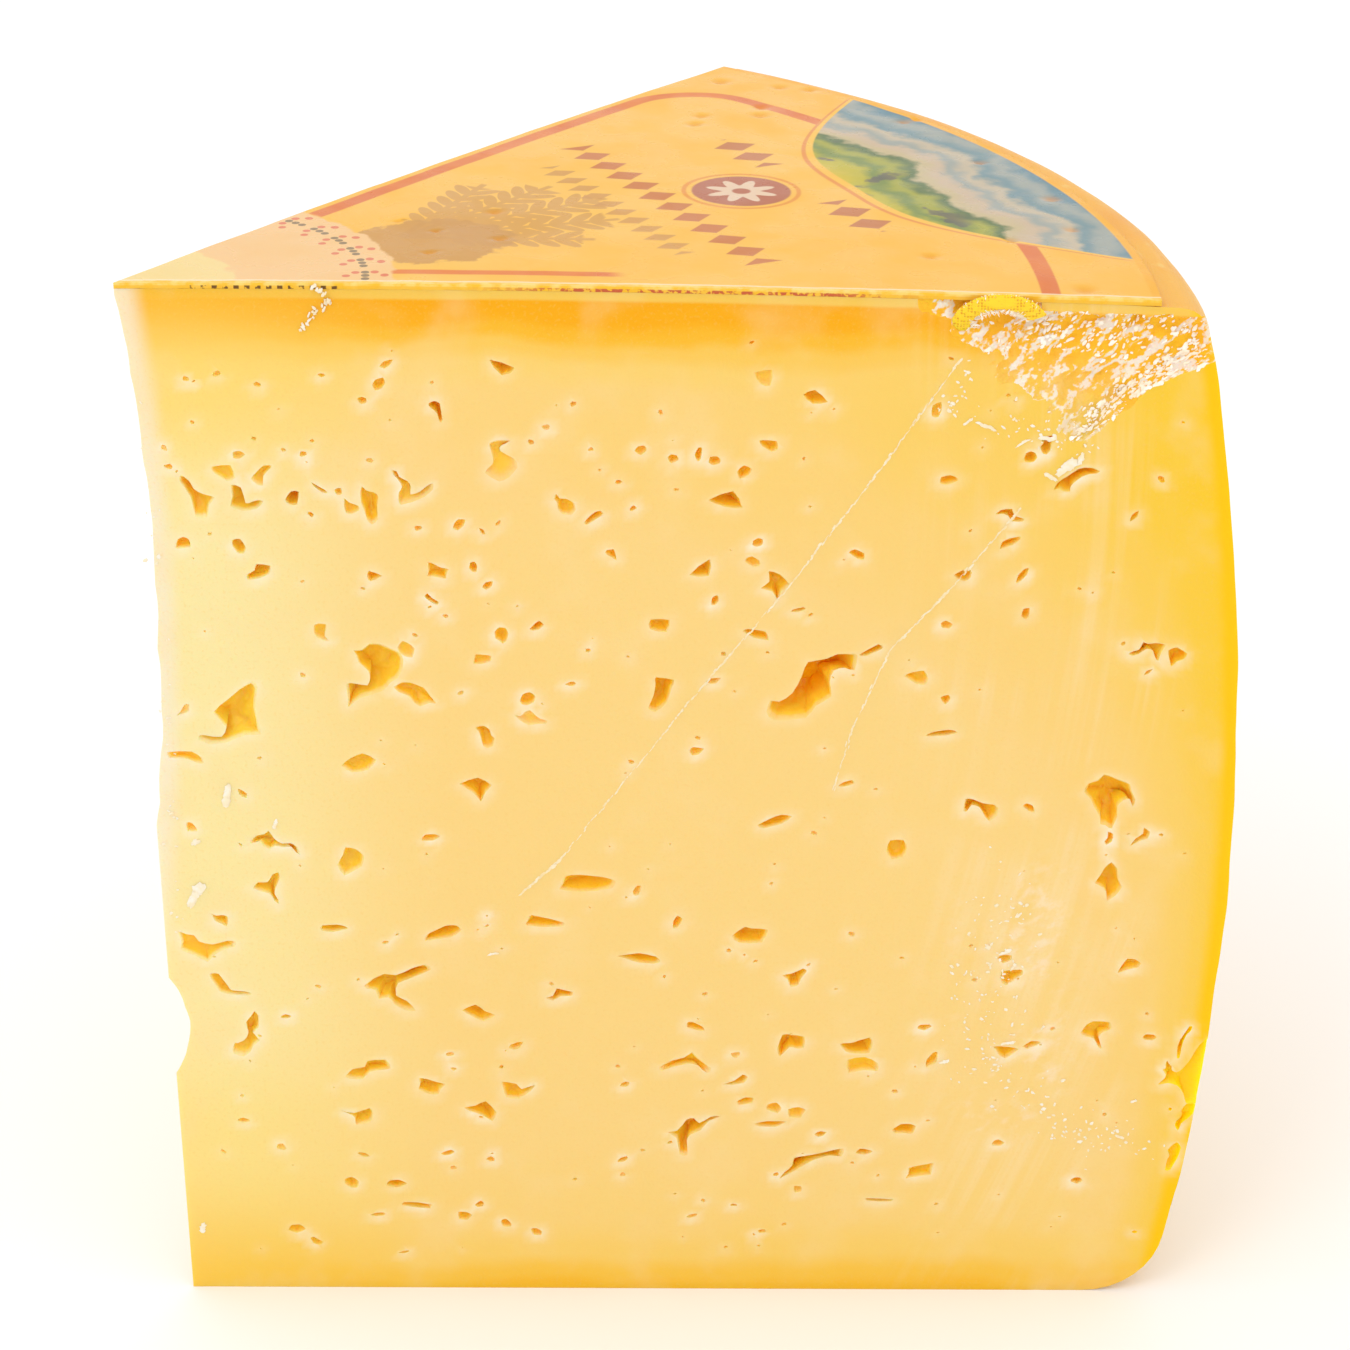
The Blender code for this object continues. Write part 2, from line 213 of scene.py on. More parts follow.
def fade(tree, value, start, end, low=0.0, high=1.0):
    """A value that goes from low to high as another goes from start to end."""
    made = add_node(tree, "ShaderNodeMapRange", interpolation_type="SMOOTHSTEP")
    feed(tree, made.inputs, value, start, end, low, high)
    return made.outputs[0]


def mixed(tree, amount, first, second, how="MIX"):
    """Two colours mixed by an amount."""
    made = add_node(tree, "ShaderNodeMix", data_type="RGBA", blend_type=how)
    feed(tree, [made.inputs[0], made.inputs[6], made.inputs[7]], amount, first, second)
    return made.outputs[2]


def noise_at(tree, place, scale, detail=2.0, stretch=(1, 1, 1), turn=(0, 0, 0)):
    """Noise over a place in millimetres; a scale of 1 has lumps of about 1 mm."""
    spot = add_node(tree, "ShaderNodeMapping", vector_type="TEXTURE")
    feed(tree, [spot.inputs["Vector"], spot.inputs["Rotation"], spot.inputs["Scale"]], place, turn, stretch)
    made = add_node(tree, "ShaderNodeTexNoise")
    sockets = [made.inputs["Vector"], made.inputs["Scale"], made.inputs["Detail"]]
    feed(tree, sockets, spot.outputs[0], scale, detail)
    return made.outputs["Fac"]


def colour_steps(tree, value, span, *steps):
    """A colour for a value that runs from 0 to a span, through (value, colour) steps."""
    made = add_node(tree, "ShaderNodeValToRGB")
    ramp = made.color_ramp
    ramp.interpolation = "EASE"
    ramp.elements.remove(ramp.elements[1])
    ramp.elements[0].position = steps[0][0] / span
    ramp.elements[0].color = steps[0][1]
    for place, colour in steps[1:]:
        ramp.elements.new(place / span).color = colour
    feed(tree, made.inputs, maths(tree, "DIVIDE", value, span))
    return made.outputs["Color"]


def new_group(name, **outputs):
    """An empty node group with named outputs, and its output node."""
    group = bpy.data.node_groups.new(name, "ShaderNodeTree")
    for title, kind in outputs.items():
        group.interface.new_socket(title, in_out="OUTPUT", socket_type=f"NodeSocket{kind}")
    return group, group.nodes.new("NodeGroupOutput")


def use_group(tree, group):
    """The outputs of a group, put in a tree."""
    return add_node(tree, "ShaderNodeGroup", node_tree=group).outputs


def new_finish(name, roughness, specular=0.5):
    """A material, its node tree and its shader."""
    made = bpy.data.materials.new(name)
    made.use_nodes = True
    shader = made.node_tree.nodes["Principled BSDF"]
    shader.inputs["Roughness"].default_value = roughness
    shader.inputs["Specular IOR Level"].default_value = specular
    return made, made.node_tree, shader


def soak_light(shader, weight, reach):
    """Let light travel under the surface, furthest in red, as fat and curd do."""
    shader.inputs["Subsurface Weight"].default_value = weight
    shader.inputs["Subsurface Radius"].default_value = (1.0, 0.55, 0.2)
    shader.inputs["Subsurface Scale"].default_value = reach * MM


def relief(tree, shader, height, depth):
    """Low relief on a finish, its depth in millimetres."""
    bump = add_node(tree, "ShaderNodeBump")
    bump.inputs["Distance"].default_value = depth * MM
    feed(tree, [bump.inputs["Height"]], height)
    feed(tree, [shader.inputs["Normal"]], bump.outputs[0])


def place_in_wheel():
    """Where a point lies, in millimetres from the wheel's axis and surfaces."""
    group, out = new_group("place_in_wheel", Place="Vector", Along="Float", Height="Float",
                           Below_top="Float", Inside_rind="Float", Behind_cut="Float")
    coords = add_node(group, "ShaderNodeTexCoord")
    spot = add_node(group, "ShaderNodeMapping")
    spot.inputs["Location"].default_value = (-axis_x / MM, -axis_y / MM, 0)
    spot.inputs["Scale"].default_value = (1 / MM, 1 / MM, 1 / MM)
    feed(group, [spot.inputs["Vector"]], coords.outputs["Object"])
    parts = add_node(group, "ShaderNodeSeparateXYZ")
    feed(group, parts.inputs, spot.outputs[0])
    x, y, z = parts.outputs
    square = plus(group, times(group, x, x), times(group, y, y))
    radius = maths(group, "SQRT", square)
    crown = times(group, square, CROWN / WHEEL_RADIUS ** 2)
    below_top = minus(group, minus(group, WHEEL_HEIGHT + CROWN, crown), z)
    up = maths(group, "MULTIPLY_ADD", z, 2 / WHEEL_HEIGHT, -1.0)
    bulge = times(group, times(group, up, up), -RIM_BULGE)
    inside = minus(group, plus(group, bulge, WHEEL_RADIUS + RIM_BULGE), radius)
    back = minus(group, times(group, x, math.sin(WEDGE_ANGLE)),
                 times(group, y, math.cos(WEDGE_ANGLE)))
    behind = maths(group, "MINIMUM", y, back)
    feed(group, out.inputs, spot.outputs[0], radius, z, below_top, inside, behind)
    return group


PLACE = place_in_wheel()
MIDDLE_PASTE = ink(252, 215, 134)


def worn_distance(group, place):
    """How far a point is from the hollow that is worn into the thin end."""
    (x, _, z), (half_x, _, half_z) = WORN_TIP
    parts = add_node(group, "ShaderNodeSeparateXYZ")
    feed(group, parts.inputs, place)
    a = maths(group, "DIVIDE", minus(group, parts.outputs[0], x), half_x)
    b = maths(group, "DIVIDE", minus(group, parts.outputs[2], z), half_z)
    reach = maths(group, "SQRT", plus(group, times(group, a, a), times(group, b, b)))
    return times(group, minus(group, reach, 1), half_x)


def paste_colour():
    """The paste's own colour: deeper towards the rind, paler at the thin end."""
    group, out = new_group("paste_colour", Colour="Color", Speckle="Float")
    place, along, height, below_top, inside = use_group(group, PLACE)[:5]
    wander = times(group, minus(group, noise_at(group, place, 0.05, 3), 0.5), 7.0)
    top = colour_steps(group, plus(group, below_top, wander), 40,
                       (0, ink(252, 172, 2)), (3.5, ink(253, 177, 10)), (5.5, ink(254, 190, 44)),
                       (7.5, ink(254, 204, 90)), (10, ink(254, 212, 114)), (14, ink(253, 215, 128)),
                       (24, MIDDLE_PASTE))
    base = colour_steps(group, plus(group, height, wander), 40,
                        (0, ink(253, 191, 44)), (2.5, ink(254, 201, 72)), (6, ink(254, 211, 108)),
                        (12, ink(253, 214, 126)), (24, MIDDLE_PASTE))
    thicker = times(group, inside, fade(group, height, 35, 128, 1.4, 0.2))
    rim = colour_steps(group, plus(group, thicker, times(group, wander, 0.3)), 40,
                       (0, ink(254, 205, 44)), (2, ink(254, 206, 64)), (4, ink(254, 208, 86)),
                       (7, ink(254, 210, 104)), (12, ink(253, 212, 122)), (30, ink(253, 216, 143)))
    edges = mixed(group, 1.0, mixed(group, 1.0, top, base, "DARKEN"), rim, "DARKEN")
    lip = plus(group, below_top, times(group, wander, 0.06))
    edges = mixed(group, fade(group, lip, 1.4, 0.9, 0, 0.8), edges, ink(250, 208, 96))
    end = plus(group, along, wander)
    lemon = colour_steps(group, height, 150, (0, ink(253, 206, 80)), (22, ink(253, 226, 138)),
                         (45, ink(252, 234, 166)), (110, ink(251, 235, 170)), (132, ink(253, 220, 118)),
                         (144, ink(253, 190, 48)))
    ended = mixed(group, fade(group, end, 40, 4, 0, 0.9), edges, lemon)
    hollow = plus(group, worn_distance(group, place), times(group, wander, 0.15))
    worn = mixed(group, fade(group, hollow, 3.2, 0.4, 0, 0.8), ended, ink(249, 236, 206))
    pale = fade(group, noise_at(group, place, 0.09, 3, turn=(0.4, 0.2, 0.9)), 0.5, 0.75, 0, 0.3)
    clouded = mixed(group, pale, worn, ink(253, 222, 158))
    parts = add_node(group, "ShaderNodeSeparateXYZ")
    feed(group, parts.inputs, place)
    drop = maths(group, "MAXIMUM", minus(group, 118, height), 0)
    sag = times(group, times(group, drop, drop), 0.002)
    swept = add_node(group, "ShaderNodeCombineXYZ")
    feed(group, swept.inputs, plus(group, parts.outputs[0], sag), parts.outputs[1], parts.outputs[2])
    streak = noise_at(group, swept.outputs[0], 0.5, 3, stretch=(1, 1, 40))
    patchy = times(group, fade(group, noise_at(group, place, 0.06, 2), 0.35, 0.6), fade(group, inside, 5, 14))
    drag = times(group, fade(group, streak, 0.42, 0.7, 0, 0.45),
                 times(group, fade(group, along, 90, 112), patchy))
    dragged = mixed(group, drag, clouded, ink(254, 228, 178))
    zone = times(group, fade(group, height, 70, 60), fade(group, height, 16, 34))
    zone = times(group, zone, fade(group, parts.outputs[1], 3, 1))
    zone = times(group, zone, fade(group, maths(group, "ABSOLUTE", minus(group, along, 110)), 11, 3))
    zone = times(group, zone, fade(group, noise_at(group, place, 0.1, 2), 0.42, 0.6))
    rubbed = noise_at(group, place, 0.55, 5, stretch=(1, 1, 1.6), turn=(0, 0.9, 0))
    smear = times(group, zone, fade(group, rubbed, 0.46, 0.7, 0, 0.6))
    smeared = mixed(group, smear, dragged, ink(255, 234, 206))
    speckle = noise_at(group, place, 2.2, 3)
    speckled = mixed(group, fade(group, speckle, 0.52, 0.72, 0, 0.22), smeared, ink(250, 204, 110))
    skin = maths(group, "MULTIPLY_ADD", wander, 0.06, inside)
    skinned = mixed(group, fade(group, skin, 2.6, 0.8), speckled, ink(255, 202, 0))
    feed(group, out.inputs, skinned, speckle)
    return group


PASTE_COLOUR = paste_colour()


def paste_finish():
    """Cut paste: smooth, a little moist, with the knife's faint streaks and a painted highlight round the eyes.
    """
    made, tree, shader = new_finish("cut_paste", 0.42, 0.15)
    place = use_group(tree, PLACE)["Place"]
    colour, speckle = use_group(tree, PASTE_COLOUR)[:2]
    # A whitish ring round each eye's rim: painted highlight, strongest below the rim where light from above
    # catches the lip.
    rim_highlight = add_node(tree, "ShaderNodeAttribute", attribute_name="eye_rim_highlight").outputs["Fac"]
    feed(tree, [shader.inputs["Base Color"]], mixed(tree, times(tree, rim_highlight, 0.85), colour, ink(255, 242, 214)))
    damp = fade(tree, noise_at(tree, place, 0.25, 3), 0.35, 0.7, 0.34, 0.56)
    feed(tree, [shader.inputs["Roughness"]], damp)
    relief(tree, shader, speckle, 0.05)
    soak_light(shader, 0.2, 2.5)
    return made


def rind_finish():
    """The rind: waxed, printed with the weave of the cloth that lined the mould."""
    made, tree, shader = new_finish("waxed_rind", 0.38, 0.25)
    place, _, _, below_top = use_group(tree, PLACE)[:4]
    cloud = noise_at(tree, place, 0.06, 4)
    side = mixed(tree, fade(tree, cloud, 0.35, 0.7), ink(254, 200, 46), ink(250, 184, 38))
    top = mixed(tree, fade(tree, cloud, 0.35, 0.7), ink(250, 184, 52), ink(247, 172, 42))
    colour = mixed(tree, fade(tree, below_top, 7, 1.5), side, top)
    worn = fade(tree, noise_at(tree, place, 0.35, 5), 0.6, 0.72, 0, 0.5)
    feed(tree, [shader.inputs["Base Color"]], mixed(tree, worn, colour, ink(252, 214, 120)))
    weave = add_node(tree, "ShaderNodeTexVoronoi", distance="CHEBYCHEV")
    weave.inputs["Scale"].default_value = 2.2
    weave.inputs["Randomness"].default_value = 0.25
    feed(tree, [weave.inputs["Vector"]], place)
    relief(tree, shader, plus(tree, weave.outputs["Distance"], cloud), 0.12)
    soak_light(shader, 0.15, 2)
    return made


# The pointed end, worn hollow from handling, with a bite out of it lower down.


def missing_ball(place):
    """A slightly lumpy ball."""
    centre, half = place
    bm = bmesh.new()
    bmesh.ops.create_icosphere(bm, subdivisions=6, radius=1)
    bmesh.ops.scale(bm, verts=bm.verts, vec=half)
    bmesh.ops.translate(bm, verts=bm.verts, vec=centre)
    for vert in bm.verts:
        vert.co.x += 0.35 * noise.fractal(vert.co * 0.15, 1.0, 2.0, 3)
    for face in bm.faces:
        face.material_index = PASTE
    return bm


# The eyes: openings left between the grains of pressed curd, so they have corners
# and pressed-in sides instead of being round. The large ones on the front cut face
# are given by place, depth and corners; the small ones by place, length, breadth
# and tilt in degrees. Where the front isn't seen, they are drawn at random.
OUTLINED_EYES = (
    (37.8, 127.8, 2.2, ((-0.95, 0.95), (-0.25, 1.3), (0.6, 1.15), (0.85, -1.45), (0.4, -1.45),
        (0.2, -0.25), (-0.7, 0.45))),
    (46.0, 133.4, 2.2, ((-2, 1.3), (2, -0.1), (-0.1, -1.35))),
    (77.3, 132.1, 0.6, ((-1.3, 0.7), (1.3, 1.2), (0.9, -1.3), (-0.4, -0.9))),
    (83.6, 129.6, 1.8, ((-1.75, 0.3), (-0.1, 1.1), (1.8, -0.8), (-0.45, -1))),
    (8.3, 116.6, 2.2, ((-2.2, 2.2), (-1.9, 2.9), (-0.9, 2.1), (-0.5, 1), (0.6, 0.35), (2.2, 0), (1.25, -1),
        (1.1, -2.75), (-0.6, -2.75), (-0.8, 0))),
    (11.5, 120.0, 1.1, ((-1.5, 0.6), (1.2, 1), (1.6, -1), (0.5, -1.4), (-1.2, -0.1))),
    (13.7, 116.4, 2.4, ((-1.4, 1.9), (0, 1.6), (0.3, -0.85), (1.2, -0.4), (2, -0.2), (2.6, -0.4),
        (1.7, -1.4), (0, -1.7), (-1.7, -1.1), (-1.1, 0.3))),
    (15.9, 119.2, 1.1, ((-1.1, -0.2), (-0.2, 0.7), (0.6, 1.55), (1.7, 1.55), (1.4, 1), (0.5, 0.2),
        (0.5, -1.2), (-0.3, -1))),
    (19.9, 116.4, 3.0, ((-1.05, -0.2), (-0.2, 1), (0.9, 1), (0.55, -1), (-0.5, -0.85))),
    (23.1, 118.0, 1.1, ((-1, 0.7), (0.9, -0.5), (1.1, -0.9), (0.5, -0.9), (-0.6, 0))),
    (25.5, 117.3, 0.8, ((-0.6, 0.3), (0.4, 0.6), (0.5, -0.4), (-0.2, -0.5))),
    (26.9, 115.2, 1.0, ((-0.8, 1.4), (-0.1, 0.6), (1.1, 0.2), (1.1, -0.4), (0.1, -0.9), (-0.6, -0.8),
        (-0.8, 0.1))),
    (29.2, 115.7, 2.0, ((-0.8, 2.4), (-0.3, 1.7), (0.7, 1.5), (1.3, 0.9), (1, -0.1), (1.1, -2.1),
        (0.2, -2.8), (-0.4, -2.1), (-0.6, -0.8), (-1, 0.2), (-1, 1.5))),
    (34.2, 117.9, 1.2, ((-2.1, 2.2), (-1.4, 2.1), (-1.2, 1.3), (-0.1, 0.8), (0.3, 0), (0, -1.1),
        (1.2, -0.7), (2.3, 0.3), (2.9, 0.5), (2.9, -0.3), (1.8, -1.3), (0.2, -2), (-1.2, -2.4),
        (-1.4, -1.6), (-1.3, -0.7), (-0.8, 0), (-1.2, 0.8), (-1.8, 1.5))),
    (45.6, 121.2, 0.8, ((-1.55, 2.4), (-0.45, 2.8), (1.4, 2.8), (-0.15, 2.05), (-0.3, 1.4), (1.7, 0.35),
        (1.95, -0.7), (0.8, -2.05), (-0.3, -2.7), (-2.35, -1.4), (-0.95, -0.35), (-1.25, 1.4))),
    (53.0, 115.6, 1.2, ((-0.9, 1.5), (-0.5, 0.7), (0.3, 0.8), (1.3, 0.2), (1.5, -0.7), (0.9, -1.4),
        (-0.2, -1.3), (-0.8, -0.5), (-0.7, 0.2), (-1.2, 0.7))),
    (72.8, 116.2, 2.8, ((-2.6, -0.1), (1.1, 1.5), (2.25, -1.3), (-0.1, -0.95))),
    (75.0, 119.9, 1.3, ((-0.95, 0), (0, 0.95), (1.05, 0.35), (0.65, -0.4), (-0.55, -1.05))),
    (78.0, 123.2, 1.3, ((-1.4, 0.85), (1.2, 0.75), (1.1, -0.45), (0.3, -0.75), (-0.8, 0))),
    (107.5, 114.1, 1.2, ((-1.9, 0.1), (-1.2, 0.8), (0.3, 1), (0.4, -0.1), (1.8, -0.4), (1.5, -0.8),
        (0.1, -0.8), (-0.2, 0), (-1.1, 0.3))),
    (109.6, 121.8, 1.4, ((-0.7, -0.2), (-0.5, 0.5), (0.1, 0.8), (0.7, 0.5), (0.9, -0.1), (0.5, -0.6),
        (0, -0.7), (-0.6, -0.6))),
    (111.5, 123.5, 1.6, ((-0.7, -0.3), (-0.2, 0.2), (-0.7, 0.5), (-0.2, 1), (0.7, 1.1), (1.1, 0.9),
        (0.6, 0.2), (0.6, -0.8), (0.1, -1.4), (-0.4, -1.2), (-0.6, -0.7))),
    (115.1, 118.9, 2.4, ((-2.5, -1.5), (-2.2, -0.7), (-1.5, 0), (-0.8, 0.4), (0.3, 1.3), (1, 1.5),
        (2.1, 1.5), (3.1, 1), (2.6, 0.7), (1.7, 0.7), (0.8, 0.3), (-0.1, -0.5), (-0.5, -1.1), (-0.4, -1.6),
        (-1.2, -1.6), (-1.9, -1.1))),
    (122.6, 114.0, 0.8, ((-0.6, -0.8), (-0.4, 0.2), (0.6, 0.9), (0.4, -0.1))),
    (6.0, 110.3, 1.6, ((0.15, 1), (0.8, 0.7), (1.15, -0.5), (-1.1, -0.7), (-0.6, 0.7))),
    (12.9, 110.2, 1.8, ((-0.85, 0.7), (0.25, 0.95), (0.95, -0.35), (0.55, -1.2), (-0.2, -1.15),
        (-0.8, -0.15))),
    (15.2, 106.6, 2.4, ((-0.45, 1.1), (1.65, 0.85), (1.25, -0.35), (0.15, -0.85), (-1.55, -1.2),
        (-1.55, -0.3), (-0.45, 0.15))),
    (29.5, 106.0, 1.5, ((-0.85, 0.85), (1.25, 0.05), (-0.7, -0.85), (-1, 0))),
    (36.4, 102.9, 1.3, ((-1, 0.35), (-0.5, 0.9), (0, 0.15), (0.95, -0.35), (0.7, -0.85), (-0.2, -0.35))),
    (37.2, 106.6, 1.5, ((-1.2, 1.4), (-0.3, 1), (0.6, 0.5), (1.5, 0.4), (1.1, -0.3), (1.1, -1),
        (0.4, -0.8), (-0.5, -0.6), (-1.3, -0.7), (-1, 0.2))),
    (41.7, 107.3, 1.0, ((-0.6, -0.2), (-0.4, 0.6), (0.2, 0.7), (0.5, 0.2), (0.4, -0.8), (-0.2, -0.7))),
    (43.4, 104.8, 0.9, ((-0.8, -0.3), (-0.3, 0.4), (0.7, 0.6), (0.5, -0.2), (-0.2, -0.7))),
    (56.6, 113.8, 1.3, ((-1.2, -0.6), (-0.5, 0.2), (0.2, 0.8), (0.9, 1), (1.3, 0.5), (0.6, 0),
        (-0.2, -0.5), (-0.9, -1))),
    (58.8, 108.9, 1.0, ((-0.8, 0.6), (0.3, 0.8), (0.5, -0.1), (0.6, -0.8), (0, -0.4), (-0.8, 0.1))),
    (69.6, 107.0, 2.0, ((-1.8, -1), (1.5, 1.8), (1.3, -1.2))),
    (79.2, 104.8, 2.2, ((-1.3, 2.05), (0.35, 1.5), (1.6, 0.1), (0.4, -0.7), (0, -2.3), (-0.55, -0.75),
        (-2.35, -0.45), (-0.9, 0.4))),
    (88.9, 109.0, 1.2, ((-1.2, 0.25), (-0.3, 0.75), (1, 0.1), (0.9, -0.8), (0.1, -0.7))),
    (102.0, 106.2, 1.4, ((-1.3, 0), (-0.2, 0.6), (0.9, 1), (1, -0.3), (0.3, -0.9), (-0.6, -0.6))),
    (107.5, 110.5, 1.2, ((-1.2, -1), (-1, 0.1), (-0.1, 0.6), (1.4, 0.9), (1.3, 0.4), (0.4, -0.3),
        (-0.5, -0.6))),
    (109.2, 106.2, 1.0, ((-0.8, -1.2), (-0.5, 0), (0.2, 0.8), (0.9, 1), (0.6, 0), (-0.1, -0.8))),
    (22.5, 98.4, 0.9, ((-0.9, 1), (-0.3, 1.2), (0.7, 1.1), (0.6, 0.3), (0.3, -0.6), (1, -1.2), (0.3, -1.2),
        (-0.7, -0.7), (-1, 0.1))),
    (28.6, 92.9, 3.0, ((-2.3, 3), (-1.2, 2.9), (-0.3, 3.9), (1, 3.9), (2.3, 3.2), (3.5, 2.7), (3.9, 1.7),
        (3.7, 0.3), (3, -0.9), (2.1, -1.4), (1.4, -2.4), (0.1, -3), (-1.8, -3.5), (-3.3, -5), (-3.1, -3.7),
        (-3.4, -1.4), (-2, -1.6), (-0.6, -1.9), (-0.3, -0.9), (-0.4, 0.1), (-1.6, 1.2), (-1.8, 2.2))),
    (32.9, 96.0, 0.8, ((-1.1, 0.3), (-0.4, 1.3), (0.5, 0.8), (1.2, 0.2), (0.8, -1.2), (-0.2, -0.9),
        (-0.8, -0.4))),
    (42.3, 94.7, 1.0, ((-0.8, 0.7), (0.3, 0.6), (1.3, 0.5), (1.2, -0.3), (0, -0.7), (-1.1, -0.7),
        (-0.9, 0.1))),
    (44.9, 97.9, 1.2, ((-0.9, 0.6), (-0.3, 1.2), (0.6, 1.1), (0.9, 0.3), (0.6, -0.7), (0.1, -1.1),
        (-0.2, -0.7), (-0.8, -0.4))),
    (49.3, 99.2, 1.3, ((-1, -0.4), (-0.1, 0.5), (0.4, 0.8), (1, 0.2), (0.2, -0.5), (-0.6, -0.6))),
    (64.6, 99.3, 1.7, ((-1.4, 0.95), (1.5, 0.95), (0.95, -1.05), (-1.4, -0.55))),
    (76.5, 98.0, 1.4, ((-1.8, 0.6), (-1.05, 0.9), (1.4, 0.6), (1.75, -0.85), (-0.3, -0.4))),
    (84.75, 91.6, 4.6, ((-1.9, 2.8), (0.7, 3.1), (1.95, 3.85), (4.25, 3.8), (4.3, 3.3), (4.1, 1.4),
        (2.7, 2), (1.4, 1.6), (0.95, 0), (1.45, -2), (-0.8, -3.2), (-1.6, -5), (-6.1, -5.3), (-6.8, -4.1),
        (-6.3, -2.4), (-5.2, -2.8), (-3.5, -1.6), (-2.4, 0.9))),
    (90.9, 95.8, 1.7, ((-1.9, -0.6), (1, 1.2), (1.6, 0.4), (-0.7, -0.7))),
    (100.1, 99.4, 0.8, ((-0.8, 0.3), (-0.1, 0.7), (0.9, 0.1), (0.4, -0.5), (-0.6, -0.4))),
    (109.8, 100.9, 1.2, ((-0.6, -0.3), (-0.3, 0.8), (0.6, 0.9), (0.4, -0.5), (-0.1, -0.7))),
    (125.0, 96.0, 1.8, ((-2.3, -0.5), (-1.6, -0.1), (-0.9, 0), (-0.5, 1.2), (0.1, 0.8), (1, 1), (2.4, 0.8),
        (1.8, -0.1), (1.5, -1.6), (1, -0.9), (0.8, 0), (0, 0.3), (-0.9, -0.5), (-1.7, -0.8))),
    (125.3, 93.0, 0.6, ((-0.6, -0.5), (-0.2, 0.2), (0.7, 0.5), (0.2, -0.2))),
    (128.7, 95.1, 1.8, ((-1.1, 0.9), (0, 1.4), (1.5, 0.4), (0.9, -0.4), (0.1, -0.6), (-0.6, -1.5),
        (-0.9, -0.1))),
    (4.4, 81.0, 1.2, ((-2.6, 0.7), (-0.8, 0.8), (0.9, 0.8), (2, 0), (2.3, -1), (1.3, -0.9), (0.2, -0.3),
        (-0.9, -0.2), (-2.2, -0.3))),
    (4.6, 87.6, 0.6, ((-1.1, -0.9), (-0.4, -0.2), (0.1, 0.8), (0.8, 0.9), (0.7, -0.2), (-0.1, -0.6))),
    (10.3, 86.1, 3.0, ((3.2, 5.5), (3.8, 4.6), (3.2, 1.8), (4, -2.2), (1.9, -1.8), (-0.7, -3.1),
        (-2.7, -3.3), (-4.2, -2.6), (-3.9, -1.9), (-2.3, -2.2), (-1.1, -2.3), (-0.2, -1), (-2.3, 1.2),
        (-0.2, 2.8), (1.5, 4.4))),
    (26.4, 80.1, 1.8, ((-2.5, -0.3), (-1.2, 0.7), (0.4, 1.6), (2.4, 0.5), (1, -1), (-1, -1.4))),
    (33.8, 89.8, 1.8, ((-2.7, 1), (-1.6, 1.7), (-0.6, 1.7), (1.2, 1), (1.9, -0.2), (2.7, -1.3),
        (1.7, -1.1), (0.6, -1.7), (-0.1, -1.2), (-0.7, -0.2), (-2, 0.3))),
    (42.5, 83.9, 1.5, ((-1.4, 1.3), (-0.2, 1.6), (0.6, 1), (0.7, 0.1), (1.2, -0.2), (0.9, -1.3),
        (0.2, -1.6), (-0.4, -1.3), (-0.6, -0.2), (-0.8, 0.7))),
    (47.9, 89.1, 1.2, ((-1, -0.2), (-0.6, 0.8), (0.3, 1.1), (1.1, 0.5), (0.8, -0.4), (0, -0.8), (-0.7, -0.7))),
    (48.3, 86.5, 0.6, ((-2.2, 0.5), (-1.3, 0.2), (-0.8, 0.9), (-0.1, 1.2), (0.5, 0.5), (1.1, -0.1),
        (2, -0.3), (1.9, -0.8), (0.6, -0.8), (-0.3, -1), (-1.3, -0.4))),
    (64.5, 89.8, 2.6, ((-0.7, 2.5), (2.1, 2.1), (1.4, 0.8), (0.9, -1.2), (-0.6, -2.5), (-1.6, -1.9),
        (-0.7, 0), (-0.5, 1.6))),
    (100.3, 89.2, 1.0, ((-0.9, 0.3), (0.4, 0.7), (0.6, 0), (-0.1, -0.9))),
    (4.4, 71.0, 0.8, ((-0.6, 0.7), (0.2, 0.6), (1, -0.7), (-0.6, -0.8))),
    (11.3, 75.8, 0.8, ((-0.7, 0.9), (0.7, 0), (0.5, -0.8), (-0.5, -0.3))),
    (15.0, 68.6, 1.6, ((-3.2, 0.3), (-2.3, 1.2), (-1.2, 1.3), (-0.7, 2), (0, 0.6), (0.9, -0.1), (2, 0.1),
        (2.9, -0.5), (3.1, -1.7), (2.6, -1.3), (2.1, -0.4), (1, -0.6), (0, -0.3), (-0.7, -0.9),
        (-1.5, -0.4), (-1.9, 0.4), (-3, -0.1))),
    (40.9, 76.5, 2.2, ((-2.3, 0.7), (0.5, 1.8), (2.3, 0.5), (1.3, -0.4), (0.7, -2.1), (-0.2, -0.4))),
    (105.1, 73.8, 2.0, ((-2, 1.5), (-1, 1.3), (0.3, 0.7), (1.6, 0.6), (2.2, 0.1), (2.1, -1), (1.1, -1.9),
        (0.5, -1.1), (-0.2, 0.3), (-1.2, 0.6), (-1.7, -0.5), (-2.2, -0.4))),
    (111.2, 73.9, 1.0, ((-0.9, 0.3), (-0.3, 0.7), (0.6, 0.3), (0.8, -0.7), (0, -0.5))),
    (121.5, 69.5, 1.0, ((-0.2, 1.1), (0.6, 0.7), (0.5, -0.4), (-0.3, -1), (-0.6, -0.4), (-0.1, 0.1))),
    (121.6, 75.1, 3.2, ((-3.5, 1), (-3.1, 2.3), (-1.8, 2.6), (-1.1, 3.6), (-0.1, 3.2), (1.4, 2.5),
        (2.2, 2.2), (2.4, 1.1), (3, 0), (2.7, -1.2), (2.3, 0.2), (1.5, 0), (0.7, -0.9), (0.9, -2.3),
        (0.2, -4.3), (-0.6, -3.5), (-1.3, -3.5), (-1.3, -2.3), (-2.2, -0.9), (-2.6, 0.2))),
    (125.6, 69.8, 1.1, ((0.2, 1.4), (1.2, 0.7), (0.9, -0.3), (-0.2, -0.6), (-1.5, -1.6), (-0.7, -0.2),
        (0.3, 0.4))),
